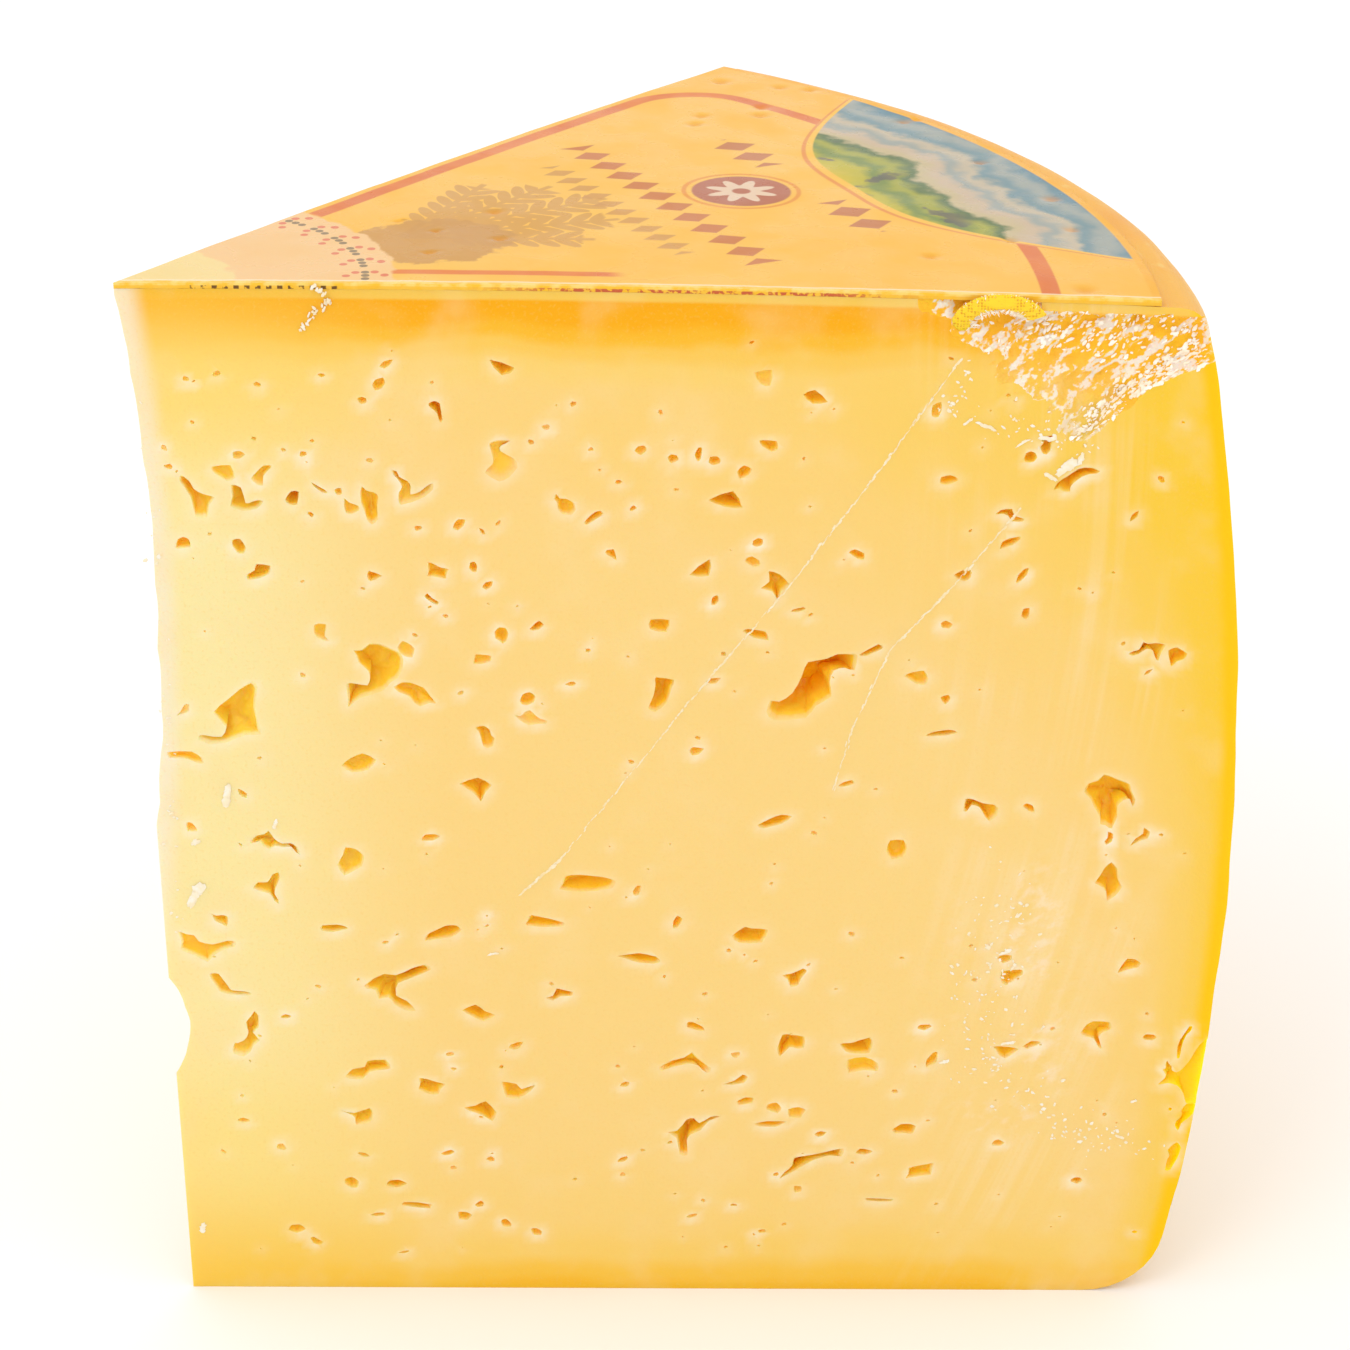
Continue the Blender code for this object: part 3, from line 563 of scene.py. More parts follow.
    (7.3, 57.5, 1.4, ((-1.2, 0.9), (-0.5, 0.4), (0.2, 0.6), (1.1, 0.4), (0.9, -1.3), (0.2, -0.8),
        (-0.7, -0.4))),
    (14.2, 62.0, 1.8, ((-2.5, 0), (-1.8, 1), (-0.4, 0.8), (0.2, 2.1), (1.1, 2.5), (1.2, 1.5), (0.6, 0.2),
        (0.3, -0.8), (0.9, -1.8), (0.8, -2.3), (0.3, -1.9), (-0.2, -0.7), (-1.1, -0.5))),
    (75.6, 55.1, 2.6, ((-2.3, 0), (-0.3, 1.5), (0.2, 1.1), (2.8, 1.1), (1.9, -1.1), (-1.2, -1.1))),
    (121.8, 63.3, 2.2, ((0.2, 2.9), (1.1, 1.8), (1.1, 0.3), (1.8, -0.8), (1, -2), (-0.2, -3), (-0.2, -1.4),
        (-1.1, -0.6), (-1.9, -0.3), (-1.1, 0.9), (-0.6, 2))),
    (5.0, 53.5, 2.2, ((-3.4, 2.3), (-2.1, 1.6), (-1.2, 1.6), (-0.8, 0.6), (1.1, 0.1), (3, 0.8), (4.1, 0.7),
        (3.9, -0.2), (2.4, -0.5), (1, -1.5), (0.3, -2.5), (-0.7, -1.8), (-2.3, -1), (-3.2, -0.5),
        (-2.8, 0.5))),
    (8.0, 47.7, 1.8, ((-2.7, 1.6), (-1.4, 1.8), (-0.2, -0.4), (0, -0.9), (2.7, -1.1), (2.5, -1.7),
        (0, -1.5), (-1.4, -1.2), (-2.4, 0.8))),
    (30.0, 47.3, 2.8, ((-4.5, 0.2), (-3.3, 1.3), (-1.8, 2.1), (-0.3, 1.7), (1.9, 2.9), (3.7, 3.5),
        (4.5, 2.7), (1.9, 1.5), (-0.15, 0.7), (-0.5, -1.3), (1, -1.9), (2.3, -3.6), (0.6, -3.4),
        (-0.7, -2.5), (-1.25, -1.3), (-2.7, -1.9), (-2.9, -0.3), (-4, -0.25))),
    (40.4, 43.5, 1.9, ((-2.5, 0.4), (-0.3, 1.4), (0.7, 0.2), (2.4, -0.3), (0.5, -1.4), (-0.8, -0.6))),
    (50.9, 46.4, 1.6, ((-1.9, -0.6), (-0.7, -0.4), (-0.3, 0.9), (0.5, 0.6), (2, 0.3), (1.7, -0.4),
        (0.2, -0.3), (-0.7, -1.1))),
    (81.7, 48.9, 2.0, ((-1.8, 0.4), (-0.4, 0.6), (1.1, 1.5), (1.65, 1), (0.8, 0), (0.45, -1.2),
        (-0.6, -1.4), (-0.9, -0.2))),
    (108.9, 51.9, 0.9, ((-1.1, -0.1), (-0.5, 0.6), (1, 0.5), (0.8, -0.3), (-0.2, -0.8))),
    (109.8, 49.1, 1.4, ((-1.6, 1), (1.6, 1.2), (1.5, 0.3), (0.5, -0.3), (-0.5, -1.3), (-1.2, -1))),
    (125.1, 50.9, 1.3, ((-1.7, -1.3), (-1.1, -0.1), (-0.4, 1.1), (0.7, 0.9), (1.5, 0.3), (1, -0.4),
        (-0.3, -0.6))),
    (9.6, 40.2, 1.9, ((1.3, 3.6), (1.9, 2.8), (1.8, 1), (0.75, 0.2), (1.9, -1), (0.75, -1.8), (0.55, -2.6),
        (-0.4, -3.5), (-1.9, -3), (-1.9, -1.8), (-0.2, -1), (0.4, 0.2), (0, 1.8), (0.9, 2.8))),
    (25.4, 34.8, 1.8, ((-3.1, -1.1), (-2, 0.1), (-0.2, 0.3), (-0.2, 1.3), (2.6, 1.6), (3.1, 0),
        (1.9, -0.1), (0.2, -0.3), (-0.6, -1.6), (-2.4, -1.5))),
    (33.8, 32.2, 2.2, ((-1.7, 1.3), (-0.55, 1.1), (0.4, 0.7), (2, 0.3), (1, -0.5), (0.9, -1.3),
        (-0.4, -1.3), (-1.9, -0.5), (-1.5, 0.3))),
    (45.2, 31.5, 1.8, ((-2.3, 1.5), (0, 1.1), (0.3, 0.1), (2.5, 1.1), (1.8, 0.1), (0.1, -1.3),
        (-1.7, -1.1), (-1.9, 0.5))),
    (67.3, 36.1, 1.2, ((-3.45, -0.8), (-1.7, 0.2), (0, 0.6), (1, 1.6), (1.55, 0.6), (3.6, -1), (2.9, -1.9),
        (1.7, -0.4), (0.35, -0.2), (-1.7, -0.8), (-3.1, -1.5))),
    (73.9, 33.3, 1.4, ((-1.9, -0.7), (0, -0.1), (1, 0.95), (1.8, 0.5), (1.2, -0.5), (-0.35, -0.8))),
    (81.3, 38.7, 2.2, ((-1.2, 1.75), (0, 1.5), (1.9, 1.35), (1.7, -0.5), (0.7, -0.55), (-0.2, -0.15),
        (-1.55, -2.05), (-1.9, -0.55))),
    (90.1, 38.6, 2.8, ((-2.6, 0.4), (-1, 0.4), (0, 0.8), (1.55, 1.4), (1.9, 0.4), (1.55, -1.2),
        (-0.2, -1.2), (-1.55, -1))),
    (90.6, 35.7, 1.1, ((-2.2, 0.9), (0.5, 1.3), (2.2, 0.3), (2.2, -1.1), (0.2, -0.7), (-1.9, -1.5))),
    (109.3, 37.9, 1.5, ((-1.6, 0.7), (-0.5, 0.7), (0.6, 0.6), (2, 0.3), (1, -0.5), (0.1, -1.3),
        (-0.7, -0.7), (-1.2, 0.3))),
    (112.8, 38.9, 0.9, ((-1.3, -0.4), (-0.1, 0.6), (1.4, 0.4), (0.7, -0.2), (-0.6, -0.6))),
    (121.2, 40.6, 1.6, ((-2.2, 0), (-1.4, 1.3), (-0.6, 1.9), (1.9, 1.8), (1.9, 0.6), (0.9, 0.3),
        (0.2, -0.5), (0.9, -2.4), (0.3, -2.1), (-0.3, -0.7), (-1.3, -0.5))),
    (132.4, 34.5, 1.6, ((3.2, 5.5), (4.1, 5.5), (3.4, 1.7), (3.1, -1.2), (2.8, -4.2), (2, -4.6), (1, -4.5),
        (0.8, -3.5), (0.3, -2.4), (-0.2, -1.8), (-1.4, -1.4), (-2, -1.6), (-2.8, -1.7), (-2.4, -1.3),
        (-1.9, -0.8), (-1.7, -0.2), (-2.3, 0.7), (-1.8, 0.7), (-1.9, 1.4), (-1.7, 2), (-1.4, 1.4),
        (-1, 1.1), (-1.1, 0.5), (-0.4, 0.1), (0.4, 0.8), (1.4, 2.4), (2.2, 4.2))),
    (132.7, 39.6, 1.0, ((0.6, 2.2), (1, 2.1), (0.9, 1.5), (0.3, 0.9), (-0.1, -0.2), (-0.3, -1.4),
        (-0.4, -2.7), (-0.8, -2.8), (-0.8, -0.9), (-0.5, 0.1), (0, 1))),
    (24.0, 27.3, 1.8, ((-2.8, 1.2), (-0.7, 0.5), (1.5, 1.6), (1.85, 0.5), (1.5, -0.7), (-0.7, -1.3),
        (-0.55, 0), (-1.5, 0.6))),
    (40.5, 28.3, 2.2, ((-2.7, 0.6), (-1, 0.8), (0.4, 1.8), (1.9, -0.2), (1.2, -1.7), (-0.1, -0.6), (-1.8, 0))),
    (66.9, 23.9, 2.7, ((-2.2, 1.2), (-0.7, 1.2), (0.5, 3.2), (1.55, 3.4), (2.1, 2.4), (3.6, 3.6),
        (5.3, 3.75), (3.4, 3), (2.4, 1.4), (1, 0.8), (0.5, 0), (0.7, -2.6), (-0.5, -2.4), (-0.7, 0.4))),
    (84.2, 20.3, 2.6, ((-4.4, -2.6), (-3.5, -1.3), (-2.55, -0.5), (-2.5, 0.9), (-0.4, 1.2), (1.65, 1.7),
        (4.35, 2.5), (3.9, 0.9), (2.35, 1.3), (0.3, 0.6), (-1.8, -0.9), (-3.5, -2))),
    (132.1, 21.7, 0.9, ((0.5, 2.2), (1.2, 1.3), (0.7, -0.5), (-0.1, -2.3), (-0.9, -2.4), (-0.6, -0.5),
        (-0.3, 0), (-0.7, 0.8), (-0.2, 1.5))),
    (133.3, 27.8, 1.0, ((0.2, 2.1), (1.6, 2.1), (1.2, 0.4), (0.4, -0.4), (-0.3, -1), (-0.6, -2.3),
        (-1.1, -1.4), (-1, -0.7), (-0.2, 0.1), (-0.4, 1))),
)

SMALL_EYES = (
    (11.6, 132.6, 1.3, 0.8, 20), (31.9, 133.8, 2.2, 1.0, 30), (31.2, 131.2, 2.0, 1.4, 35),
    (29.0, 129.2, 1.3, 1.2, 0), (13.5, 122.1, 1.7, 1.3, 0), (22.0, 114.3, 1.3, 0.7, -30),
    (7.8, 132.0, 0.9, 0.8, 0), (16.4, 131.2, 0.9, 0.8, 0), (24.2, 132.4, 1.0, 0.7, 0),
    (8.2, 126.4, 0.8, 0.7, 0), (4.6, 123.0, 0.9, 0.9, 0), (4.9, 120.6, 1.2, 0.9, 0),
    (21.4, 122.2, 1.1, 0.8, 0), (22.6, 124.0, 0.8, 0.7, 0), (40.1, 112.9, 1.9, 1.2, 40),
    (43.0, 112.0, 1.3, 0.6, -60), (44.9, 113.1, 1.2, 0.5, 60), (62.5, 122.7, 1.5, 1.2, 20),
    (66.5, 121.6, 1.6, 1.4, 0), (69.5, 122.0, 2.1, 0.9, 80), (71.5, 121.4, 1.7, 1.4, 0),
    (71.4, 102.7, 2.0, 0.9, 65), (76.6, 110.5, 1.7, 1.4, 20), (76.1, 107.9, 1.7, 1.4, -20),
    (81.7, 101.5, 2.0, 0.7, 10), (71.2, 91.7, 2.2, 1.0, 10), (69.0, 81.9, 2.3, 1.2, 15),
    (79.0, 72.0, 4.0, 1.4, 18), (88.2, 77.3, 2.3, 0.9, 10), (94.5, 67.9, 2.9, 2.7, 0),
    (54.8, 62.8, 6.9, 2.4, 0), (61.4, 61.8, 1.8, 1.3, 70), (49.4, 57.0, 5.2, 2.0, -4),
    (61.3, 51.8, 5.8, 1.3, -8), (66.4, 57.2, 2.4, 1.3, 80), (96.7, 92.2, 2.8, 2.5, 0),
    (100.2, 84.5, 4.3, 0.9, 8), (98.2, 128.0, 2.3, 1.2, 75), (99.8, 118.9, 2.2, 1.4, 0),
    (99.8, 36.6, 2.8, 1.8, 70), (98.7, 41.5, 2.1, 1.3, 0), (96.4, 25.7, 3.2, 1.7, 10),
    (128.1, 40.1, 1.8, 1.3, 0), (24.5, 66.2, 4.2, 2.8, 75), (34.9, 69.6, 2.6, 1.1, 10),
    (22.0, 56.2, 3.9, 1.1, 5), (36.4, 55.5, 5.4, 1.8, 20), (75.6, 30.0, 2.6, 1.2, 15),
    (79.0, 29.1, 2.4, 2.2, 40), (82.1, 28.3, 2.7, 1.6, 10), (85.2, 24.9, 1.8, 1.0, 10),
    (79.0, 26.5, 4.2, 1.0, 5), (91.0, 22.1, 2.4, 1.3, 0), (98.6, 19.1, 4.3, 1.9, 15),
    (93.2, 14.5, 3.8, 0.7, -5), (68.7, 41.4, 2.5, 1.1, -22), (119.6, 17.8, 2.4, 1.1, 5),
    (108.9, 23.7, 1.9, 1.2, 10), (28.5, 16.8, 4.0, 1.1, 2), (22.2, 17.0, 2.4, 1.5, -25),
    (31.0, 13.4, 5.2, 0.8, -5), (25.8, 11.9, 2.0, 0.7, 3), (14.5, 9.4, 2.4, 1.6, 0),
    (17.2, 7.6, 2.3, 1.0, -35), (37.4, 11.7, 1.9, 1.6, 0), (39.6, 13.6, 1.4, 1.1, 40),
    (43.0, 10.5, 1.8, 1.2, -40), (29.2, 5.8, 1.7, 0.5, 10), (8.5, 26.8, 2.0, 0.9, 5),
    (13.3, 22.6, 1.3, 1.2, 0), (35.6, 21.8, 2.2, 0.9, 20), (45.3, 38.5, 2.2, 1.1, 25),
    (36.4, 37.2, 1.1, 0.8, 0), (36.8, 34.9, 0.9, 0.8, 0), (43.1, 35.2, 0.9, 0.8, 30),
    (24.3, 21.4, 1.7, 0.7, -20), (15.0, 42.8, 1.6, 0.7, 0), (41.2, 20.8, 1.2, 0.9, 0),
    (36.2, 19.4, 1.1, 0.8, 0), (8.6, 30.6, 0.8, 0.6, 0), (59.0, 20.8, 1.8, 0.7, 20),
    (58.9, 18.4, 1.0, 0.7, 0), (59.5, 32.6, 1.6, 0.8, 15), (74.0, 37.2, 1.5, 0.9, 10),
    (69.6, 14.3, 0.8, 0.6, 0), (68.2, 11.8, 1.8, 0.7, 20), (82.3, 16.2, 1.6, 1.2, 60),
    (73.8, 13.6, 1.0, 0.5, 0), (77.6, 9.4, 1.2, 0.7, 0), (47.2, 9.2, 1.7, 1.5, 0),
    (51.1, 125.7, 1.0, 0.7, 0), (54.4, 128.7, 1.1, 0.7, 20), (49.2, 123.8, 0.9, 0.7, 0),
    (59.7, 118.5, 1.0, 0.7, 0), (61.5, 115.1, 1.0, 0.6, 30), (29.5, 121.4, 1.0, 0.7, 0),
    (19.1, 122.8, 0.8, 0.6, 0), (19.9, 92.5, 0.9, 0.7, 0), (38.0, 100.6, 0.9, 0.6, 0),
    (39.5, 90.0, 1.0, 0.6, 20), (53.4, 91.3, 1.2, 0.7, 10), (56.4, 122.8, 0.9, 0.6, 0),
    (35.1, 112.4, 1.0, 0.8, 0),
)
PORES = 170
PORE_LENGTH = (0.5, 1.3)
BACK_EYES = 150
BACK_EYE_LENGTH = (1.2, 7.0)
EYE_GROWTH = 1.05
SIDE_PRESS = (0.02, 0.2)
OVERHANG = 0.16
EYE_RINGS = ((-0.6, 1.1), (0.0, 1.08), (0.08, 1.0), (0.3, 0.94), (0.6, 0.82), (0.85, 0.6), (1.0, 0.28))
PORE_RINGS = ((-0.6, 1.1), (0.0, 1.05), (0.5, 0.8), (1.0, 0.4))


def pressed_outline(corners, draw, steps):
    """An eye's outline: sides pressed in by the grains of curd, corners rounded."""
    middle = sum((Vector(corner) for corner in corners), Vector((0, 0))) / len(corners)
    points = []
    for start, end in zip(corners, corners[1:] + corners[:1]):
        start, end = Vector(start), Vector(end)
        press = draw.uniform(*SIDE_PRESS) * min((end - start).length, 2.0) / 2
        inward = Vector((start.y - end.y, end.x - start.x)).normalized()
        if inward.dot(middle - (start + end) / 2) < 0:
            inward = -inward
        for k in range(steps):
            along = k / steps
            points.append(start.lerp(end, along) + inward * press * 2 * along * (1 - along))
    before, after = points[-1:] + points[:-1], points[1:] + points[:1]
    return [(first + spot * 4 + last) / 6 * EYE_GROWTH for first, spot, last in zip(before, points, after)]


def add_eye(bm, place, corners, depth, draw, rings, steps):
    """The space of one eye: its outline, drawn back into the cheese in rings."""
    outline = pressed_outline(corners, draw, steps)
    middle = sum(outline, Vector((0, 0))) / len(outline)
    verts = [bm.verts.new((p.x, rings[0][0], p.y)) for p in outline]
    faces = [bm.faces.new(verts)]
    faces[0].material_index = EYE
    made = list(verts)
    spread = math.sqrt(sum((p - middle).length_squared for p in outline) / len(outline))
    for (before, last), (back, size) in zip(rings, rings[1:]):
        y = back * depth if back > 0 else back
        grown = bmesh.ops.extrude_face_region(bm, geom=faces + list(faces[0].edges))["geom"]
        faces = [item for item in grown if isinstance(item, bmesh.types.BMFace)]
        ring = [item for item in grown if isinstance(item, bmesh.types.BMVert)]
        centre = Vector((middle.x, 0, middle.y))
        rise = OVERHANG * spread * (max(back, 0) - max(before, 0))
        for vert in ring:
            flat = Vector((vert.co.x, 0, vert.co.z)) - centre
            vert.co = centre + flat * (size / last) + Vector((-0.5 * rise, 0, rise))
            vert.co.y = y
        made += ring
    for vert in made:
        if vert.co.y > 0.2:
            spot = Vector((place[0], 0, place[1])) + vert.co
            lump = noise.noise_vector(spot * 0.7)
            vert.co += lump * 0.16 * min(depth, vert.co.y)
    bmesh.ops.translate(bm, verts=made, vec=(place[0], 0, place[1]))
    return made


def loose_corners(length, breadth, tilt, draw):
    """Corners round an eye, more of them and more ragged the larger it is."""
    count = draw.choice((4, 4, 5)) + min(round(length * 0.6), 5)
    ragged = 0.16 + min(0.06 * length, 0.2)
    turn = draw.uniform(0, math.tau)
    lean = Matrix.Rotation(math.radians(tilt), 2)
    corners = []
    for k in range(count):
        angle = turn + (k + draw.uniform(-0.3, 0.3)) * math.tau / count
        reach = 1.04 + draw.uniform(-ragged, ragged)
        spot = Vector((length / 2 * math.cos(angle), breadth / 2 * math.sin(angle))) * reach
        corners.append(tuple(lean @ spot))
    return tuple(corners)


class EyeLayers:
    """Cutters for one cut face. Eyes that overlap go to different layers."""

    def __init__(self):
        self.layers = []

    def add(self, place, corners, depth, draw, rings=EYE_RINGS, steps=3):
        size = max(math.hypot(*corner) for corner in corners) + 0.3
        for bm, taken in self.layers:
            if all(math.dist(place, spot) > size + other for spot, other in taken):
                break
        else:
            bm, taken = bmesh.new(), []
            self.layers.append((bm, taken))
        taken.append((place, size))
        add_eye(bm, place, corners, depth, draw, rings, steps)

    def finished(self, to_face):
        """One mesh for each layer, closed, turned outwards and put on its face."""
        meshes = []
        for bm, _ in self.layers:
            bmesh.ops.triangulate(bm, faces=[face for face in bm.faces if len(face.verts) > 4])
            bmesh.ops.transform(bm, matrix=to_face, verts=bm.verts)
            bmesh.ops.recalc_face_normals(bm, faces=bm.faces)
            meshes.append(bm)
        return meshes


def eye_finish():
    """The skin inside an eye: smooth and moist, its colour deepening with depth as painted shade."""
    made, tree, shader = new_finish("eye_wall", 0.35, 0.25)
    place, along, _, _, inside, behind = use_group(tree, PLACE)[:6]
    colour = use_group(tree, PASTE_COLOUR)["Colour"]
    amber = mixed(tree, fade(tree, along, 8, 50), ink(255, 212, 72, 1), ink(255, 203, 52, 1))
    deep = mixed(tree, fade(tree, along, 10, 60), ink(255, 190, 20, 1), ink(255, 170, 8, 1))
    # Amber just inside the rim, deep orange further back: the deepening with depth is painted shade of the eye's
    # hollow.
    wall = mixed(tree, fade(tree, behind, 0.05, 0.7), colour, amber)
    wall = mixed(tree, fade(tree, behind, 1.0, 3.6), wall, deep)
    wall = mixed(tree, fade(tree, inside, 7, 3), wall, ink(255, 210, 10, 1))
    feed(tree, [shader.inputs["Base Color"]], wall)
    relief(tree, shader, noise_at(tree, place, 1.4, 2), 0.15)
    soak_light(shader, 0.8, 4)
    return made


def front_eyes():
    """The eyes that the front cut face shows, and fine pores between them."""
    draw = random.Random(23)
    layers = EyeLayers()
    for x, z, depth, corners in OUTLINED_EYES:
        layers.add((x, z), corners, depth * 0.8, draw, steps=2)
    for x, z, length, breadth, tilt in SMALL_EYES:
        depth = (length + breadth) * draw.uniform(0.16, 0.3)
        layers.add((x, z), loose_corners(length, breadth, tilt, draw), depth, draw, steps=2)
    for _ in range(PORES):
        x, z = draw.uniform(4, 132), draw.uniform(5, 137)
        length = draw.triangular(*PORE_LENGTH, PORE_LENGTH[0])
        corners = loose_corners(length, length * draw.uniform(0.5, 0.9), draw.uniform(-40, 40), draw)
        layers.add((x, z), corners, length * 0.35, draw, PORE_RINGS, 1)
    return layers.finished(Matrix())


def back_eyes():
    """Eyes of the same kinds on the back cut face, drawn at random."""
    draw = random.Random(7)
    layers = EyeLayers()
    for _ in range(BACK_EYES):
        x, z = draw.uniform(6, 128), draw.uniform(6, 132)
        length = BACK_EYE_LENGTH[0] + (BACK_EYE_LENGTH[1] - BACK_EYE_LENGTH[0]) * draw.random() ** 3
        corners = loose_corners(length, length * draw.uniform(0.4, 0.9), draw.uniform(-40, 40), draw)
        layers.add((x, z), corners, length * draw.uniform(0.3, 0.55), draw, steps=2)
    mirror = Matrix.Rotation(WEDGE_ANGLE, 4, "Z") @ Matrix.Scale(-1, 4, (0, 1, 0))
    return layers.finished(mirror)


# The torn corner: between the front cut face, the top and the rind the crust
# came away with some curd. A steep edge runs between two points, and the far
# side fades out. What is left is craggy.
TEAR_EDGE = ((123.6, 130.4), (115.5, 122.6))
TEAR_SHOULDER = ((133.0, 134.9), (123.6, 130.4))
TEAR_FADE = ((98.0, 138.4), (115.2, 123.4))
TEAR_DEPTH = 2.6
TEAR_CRAG = 0.9
TEAR_LIP = 1.5
TEAR_BOX = ((94.0, 140.0), (114.0, 147.0))
TEAR_CELL = 0.4


def side_of(x, z, line):
    """Distance of a place on the cut face to the right of a line."""
    (x0, z0), (x1, z1) = line
    return ((x - x0) * (z1 - z0) - (z - z0) * (x1 - x0)) / math.hypot(x1 - x0, z1 - z0)


def tear_depth(x, z):
    """How deep the torn corner is at a place on the front face."""
    steep = max(side_of(x, z, TEAR_EDGE), side_of(x, z, TEAR_SHOULDER))
    steep = min(max(steep / 1.5, -1), 1)
    shallow = min(max(-side_of(x, z, TEAR_FADE) / 7, -1), 1)
    crag = noise.fractal((x * 0.22, z * 0.3, 4.0), 1.0, 2.0, 3)
    return TEAR_DEPTH * min(steep, shallow) + TEAR_CRAG * crag - 0.3


def fine_tear_depth(x, z):
    """The same, with ridges that run down to the left, and a ragged lip at the top."""
    along, over = (x + z) * 0.7, (x - z) * 0.7
    ridge = noise.ridged_multi_fractal((along * 0.22, over * 0.55, 2.0), 1.0, 2.2, 4, 1.0, 2.0)
    depth = tear_depth(x, z) - 0.4 * (ridge - 1.1)
    lip = top_height(x) - TEAR_LIP + 0.5 * noise.fractal((x * 0.5, 3.0, 8.0), 1.0, 2.0, 3)
    hang = min(max((z - lip) / 0.35, 0), 1) if x > 110 else 0
    return depth * (1 - hang) - 0.6 * hang


def torn_corner():
    """A slab with a craggy back, which takes the torn crust off the corner."""
    (left, right), (low, high) = TEAR_BOX
    bm = bmesh.new()
    bmesh.ops.create_grid(bm, x_segments=round((right - left) / TEAR_CELL),
                          y_segments=round((high - low) / TEAR_CELL), size=0.5)
    for vert in bm.verts:
        x = left + (vert.co.x + 0.5) * (right - left)
        z = low + (vert.co.y + 0.5) * (high - low)
        vert.co = Vector((x, fine_tear_depth(x, z), z))
    front = bmesh.ops.extrude_face_region(bm, geom=bm.faces[:])
    for item in front["geom"]:
        if isinstance(item, bmesh.types.BMVert):
            item.co.y = -8
    for face in bm.faces:
        face.material_index = TORN
    bmesh.ops.recalc_face_normals(bm, faces=bm.faces)
    return bm


def torn_finish():
    """Torn curd: pale, dry crests over moist amber hollows."""
    made, tree, shader = new_finish("torn_curd", 0.55, 0.35)
    place, _, height, _, inside = use_group(tree, PLACE)[:5]
    colour = use_group(tree, PASTE_COLOUR)["Colour"]
    crest = add_node(tree, "ShaderNodeAttribute", attribute_name="crest").outputs["Fac"]
    spread = maths(tree, "MULTIPLY_ADD", inside, -0.35, height)
    amber = mixed(tree, fade(tree, spread, 119, 131), colour, ink(255, 188, 20, 1))
    broad = noise_at(tree, place, 0.5, 3, stretch=(1, 1, 1.8), turn=(0, 0.8, 0))
    fine = noise_at(tree, place, 1.9, 5, stretch=(1, 1, 1.6), turn=(0, 0.8, 0))
    grains = plus(tree, times(tree, broad, 0.5), times(tree, fine, 0.75))
    fleck = maths(tree, "MULTIPLY_ADD", crest, 0.55, grains)
    white = times(tree, fade(tree, fleck, 0.9, 1.02), fade(tree, height, 118, 132, 0.25, 0.95))
    feed(tree, [shader.inputs["Base Color"]], mixed(tree, white, amber, ink(255, 242, 226)))
    relief(tree, shader, noise_at(tree, place, 1.6, 4), 0.25)
    soak_light(shader, 0.4, 2)
    return made


def cut_away(target, cutters):
    """Take the cutters' space out of an object and return the mesh that is left."""
    tools = [as_object(f"{name}_space", bm) for name, bm in cutters]
    for tool in tools:
        for finish in target.data.materials:
            tool.data.materials.append(finish)
        step = target.modifiers.new(tool.name, "BOOLEAN")
        step.operation = "DIFFERENCE"
        step.solver = "MANIFOLD"
        step.object = tool
    view = target.evaluated_get(bpy.context.evaluated_depsgraph_get())
    mesh = bpy.data.meshes.new_from_object(view)
    target.modifiers.clear()
    for tool in tools:
        bpy.data.objects.remove(tool)
    target.data = mesh


def mark_rims(mesh):
    """Mark a painted highlight on the cut face near each eye's rim, stronger below it, and where torn curd
    stands up.
    """
    bm = bmesh.new()
    bm.from_mesh(mesh)
    rims = []
    for edge in bm.edges:
        kinds = {face.material_index for face in edge.link_faces}
        if kinds == {PASTE, EYE}:
            rims += edge.verts
    near = kdtree.KDTree(len(rims))
    for k, vert in enumerate(rims):
        near.insert(vert.co, k)
    near.balance()
    crowd = [min(1, len(near.find_range(vert.co, 1.6)) / 40) for vert in rims]
    rim = bm.verts.layers.float.new("eye_rim_highlight")
    crest = bm.verts.layers.float.new("crest")
    for vert in bm.verts:
        kinds = {face.material_index for face in vert.link_faces}
        if PASTE in kinds:
            spot, which, away = near.find(vert.co)
            # The painted highlight is stronger below the rim, where light from above would catch it.
            below = (spot.z - vert.co.z) / max(away, 0.05)
            patch = 0.6 + 0.35 * below + 0.8 * noise.noise(vert.co * 0.35)
            vert[rim] = max(0, max(0, 1 - away / 1.6) ** 1.4 * patch * crowd[which])
        if TORN in kinds:
            stands = tear_depth(vert.co.x, vert.co.z) - vert.co.y
            vert[crest] = min(max(0.5 + stands * 1.6, 0), 1)
    bm.to_mesh(mesh)
    bm.free()


cheese = as_object("cheese_wedge", wedge_solid())
for finish in (rind_finish(), paste_finish(), eye_finish(), torn_finish()):
    cheese.data.materials.append(finish)
spaces = [("worn_tip", missing_ball(WORN_TIP)), ("tip_bite", missing_ball(TIP_BITE))]
spaces += [("torn_corner", torn_corner())]
spaces += [(f"front_eyes_{k}", bm) for k, bm in enumerate(front_eyes())]
spaces += [(f"back_eyes_{k}", bm) for k, bm in enumerate(back_eyes())]
cut_away(cheese, spaces)
mark_rims(cheese.data)
cheese.data.transform(TO_FRAME)
cheese.data.polygons.foreach_set("use_smooth", [True] * len(cheese.data.polygons))
cheese.data.set_sharp_from_angle(angle=math.radians(35))
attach(cheese, "root")
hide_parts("cheese")

# The curled skin: a strip of the rind's waxy skin, printed with the weave of the
# cloth that lined the mould. It tore off with the corner and curls over the edge,
# with both ends still in the cheese.
CURL_MIDDLE = Vector((105.4, 0.4, 138.4))
CURL_RADIUS = 3.7
CURL_STRETCH = 1.26
CURL_CREST = 1.9
CURL_SPAN = (math.radians(20), math.radians(195))
CURL_WIDTH = 1.9
CURL_THICKNESS = 0.35
CURL_STEPS = 72
CURL_ROWS = 8


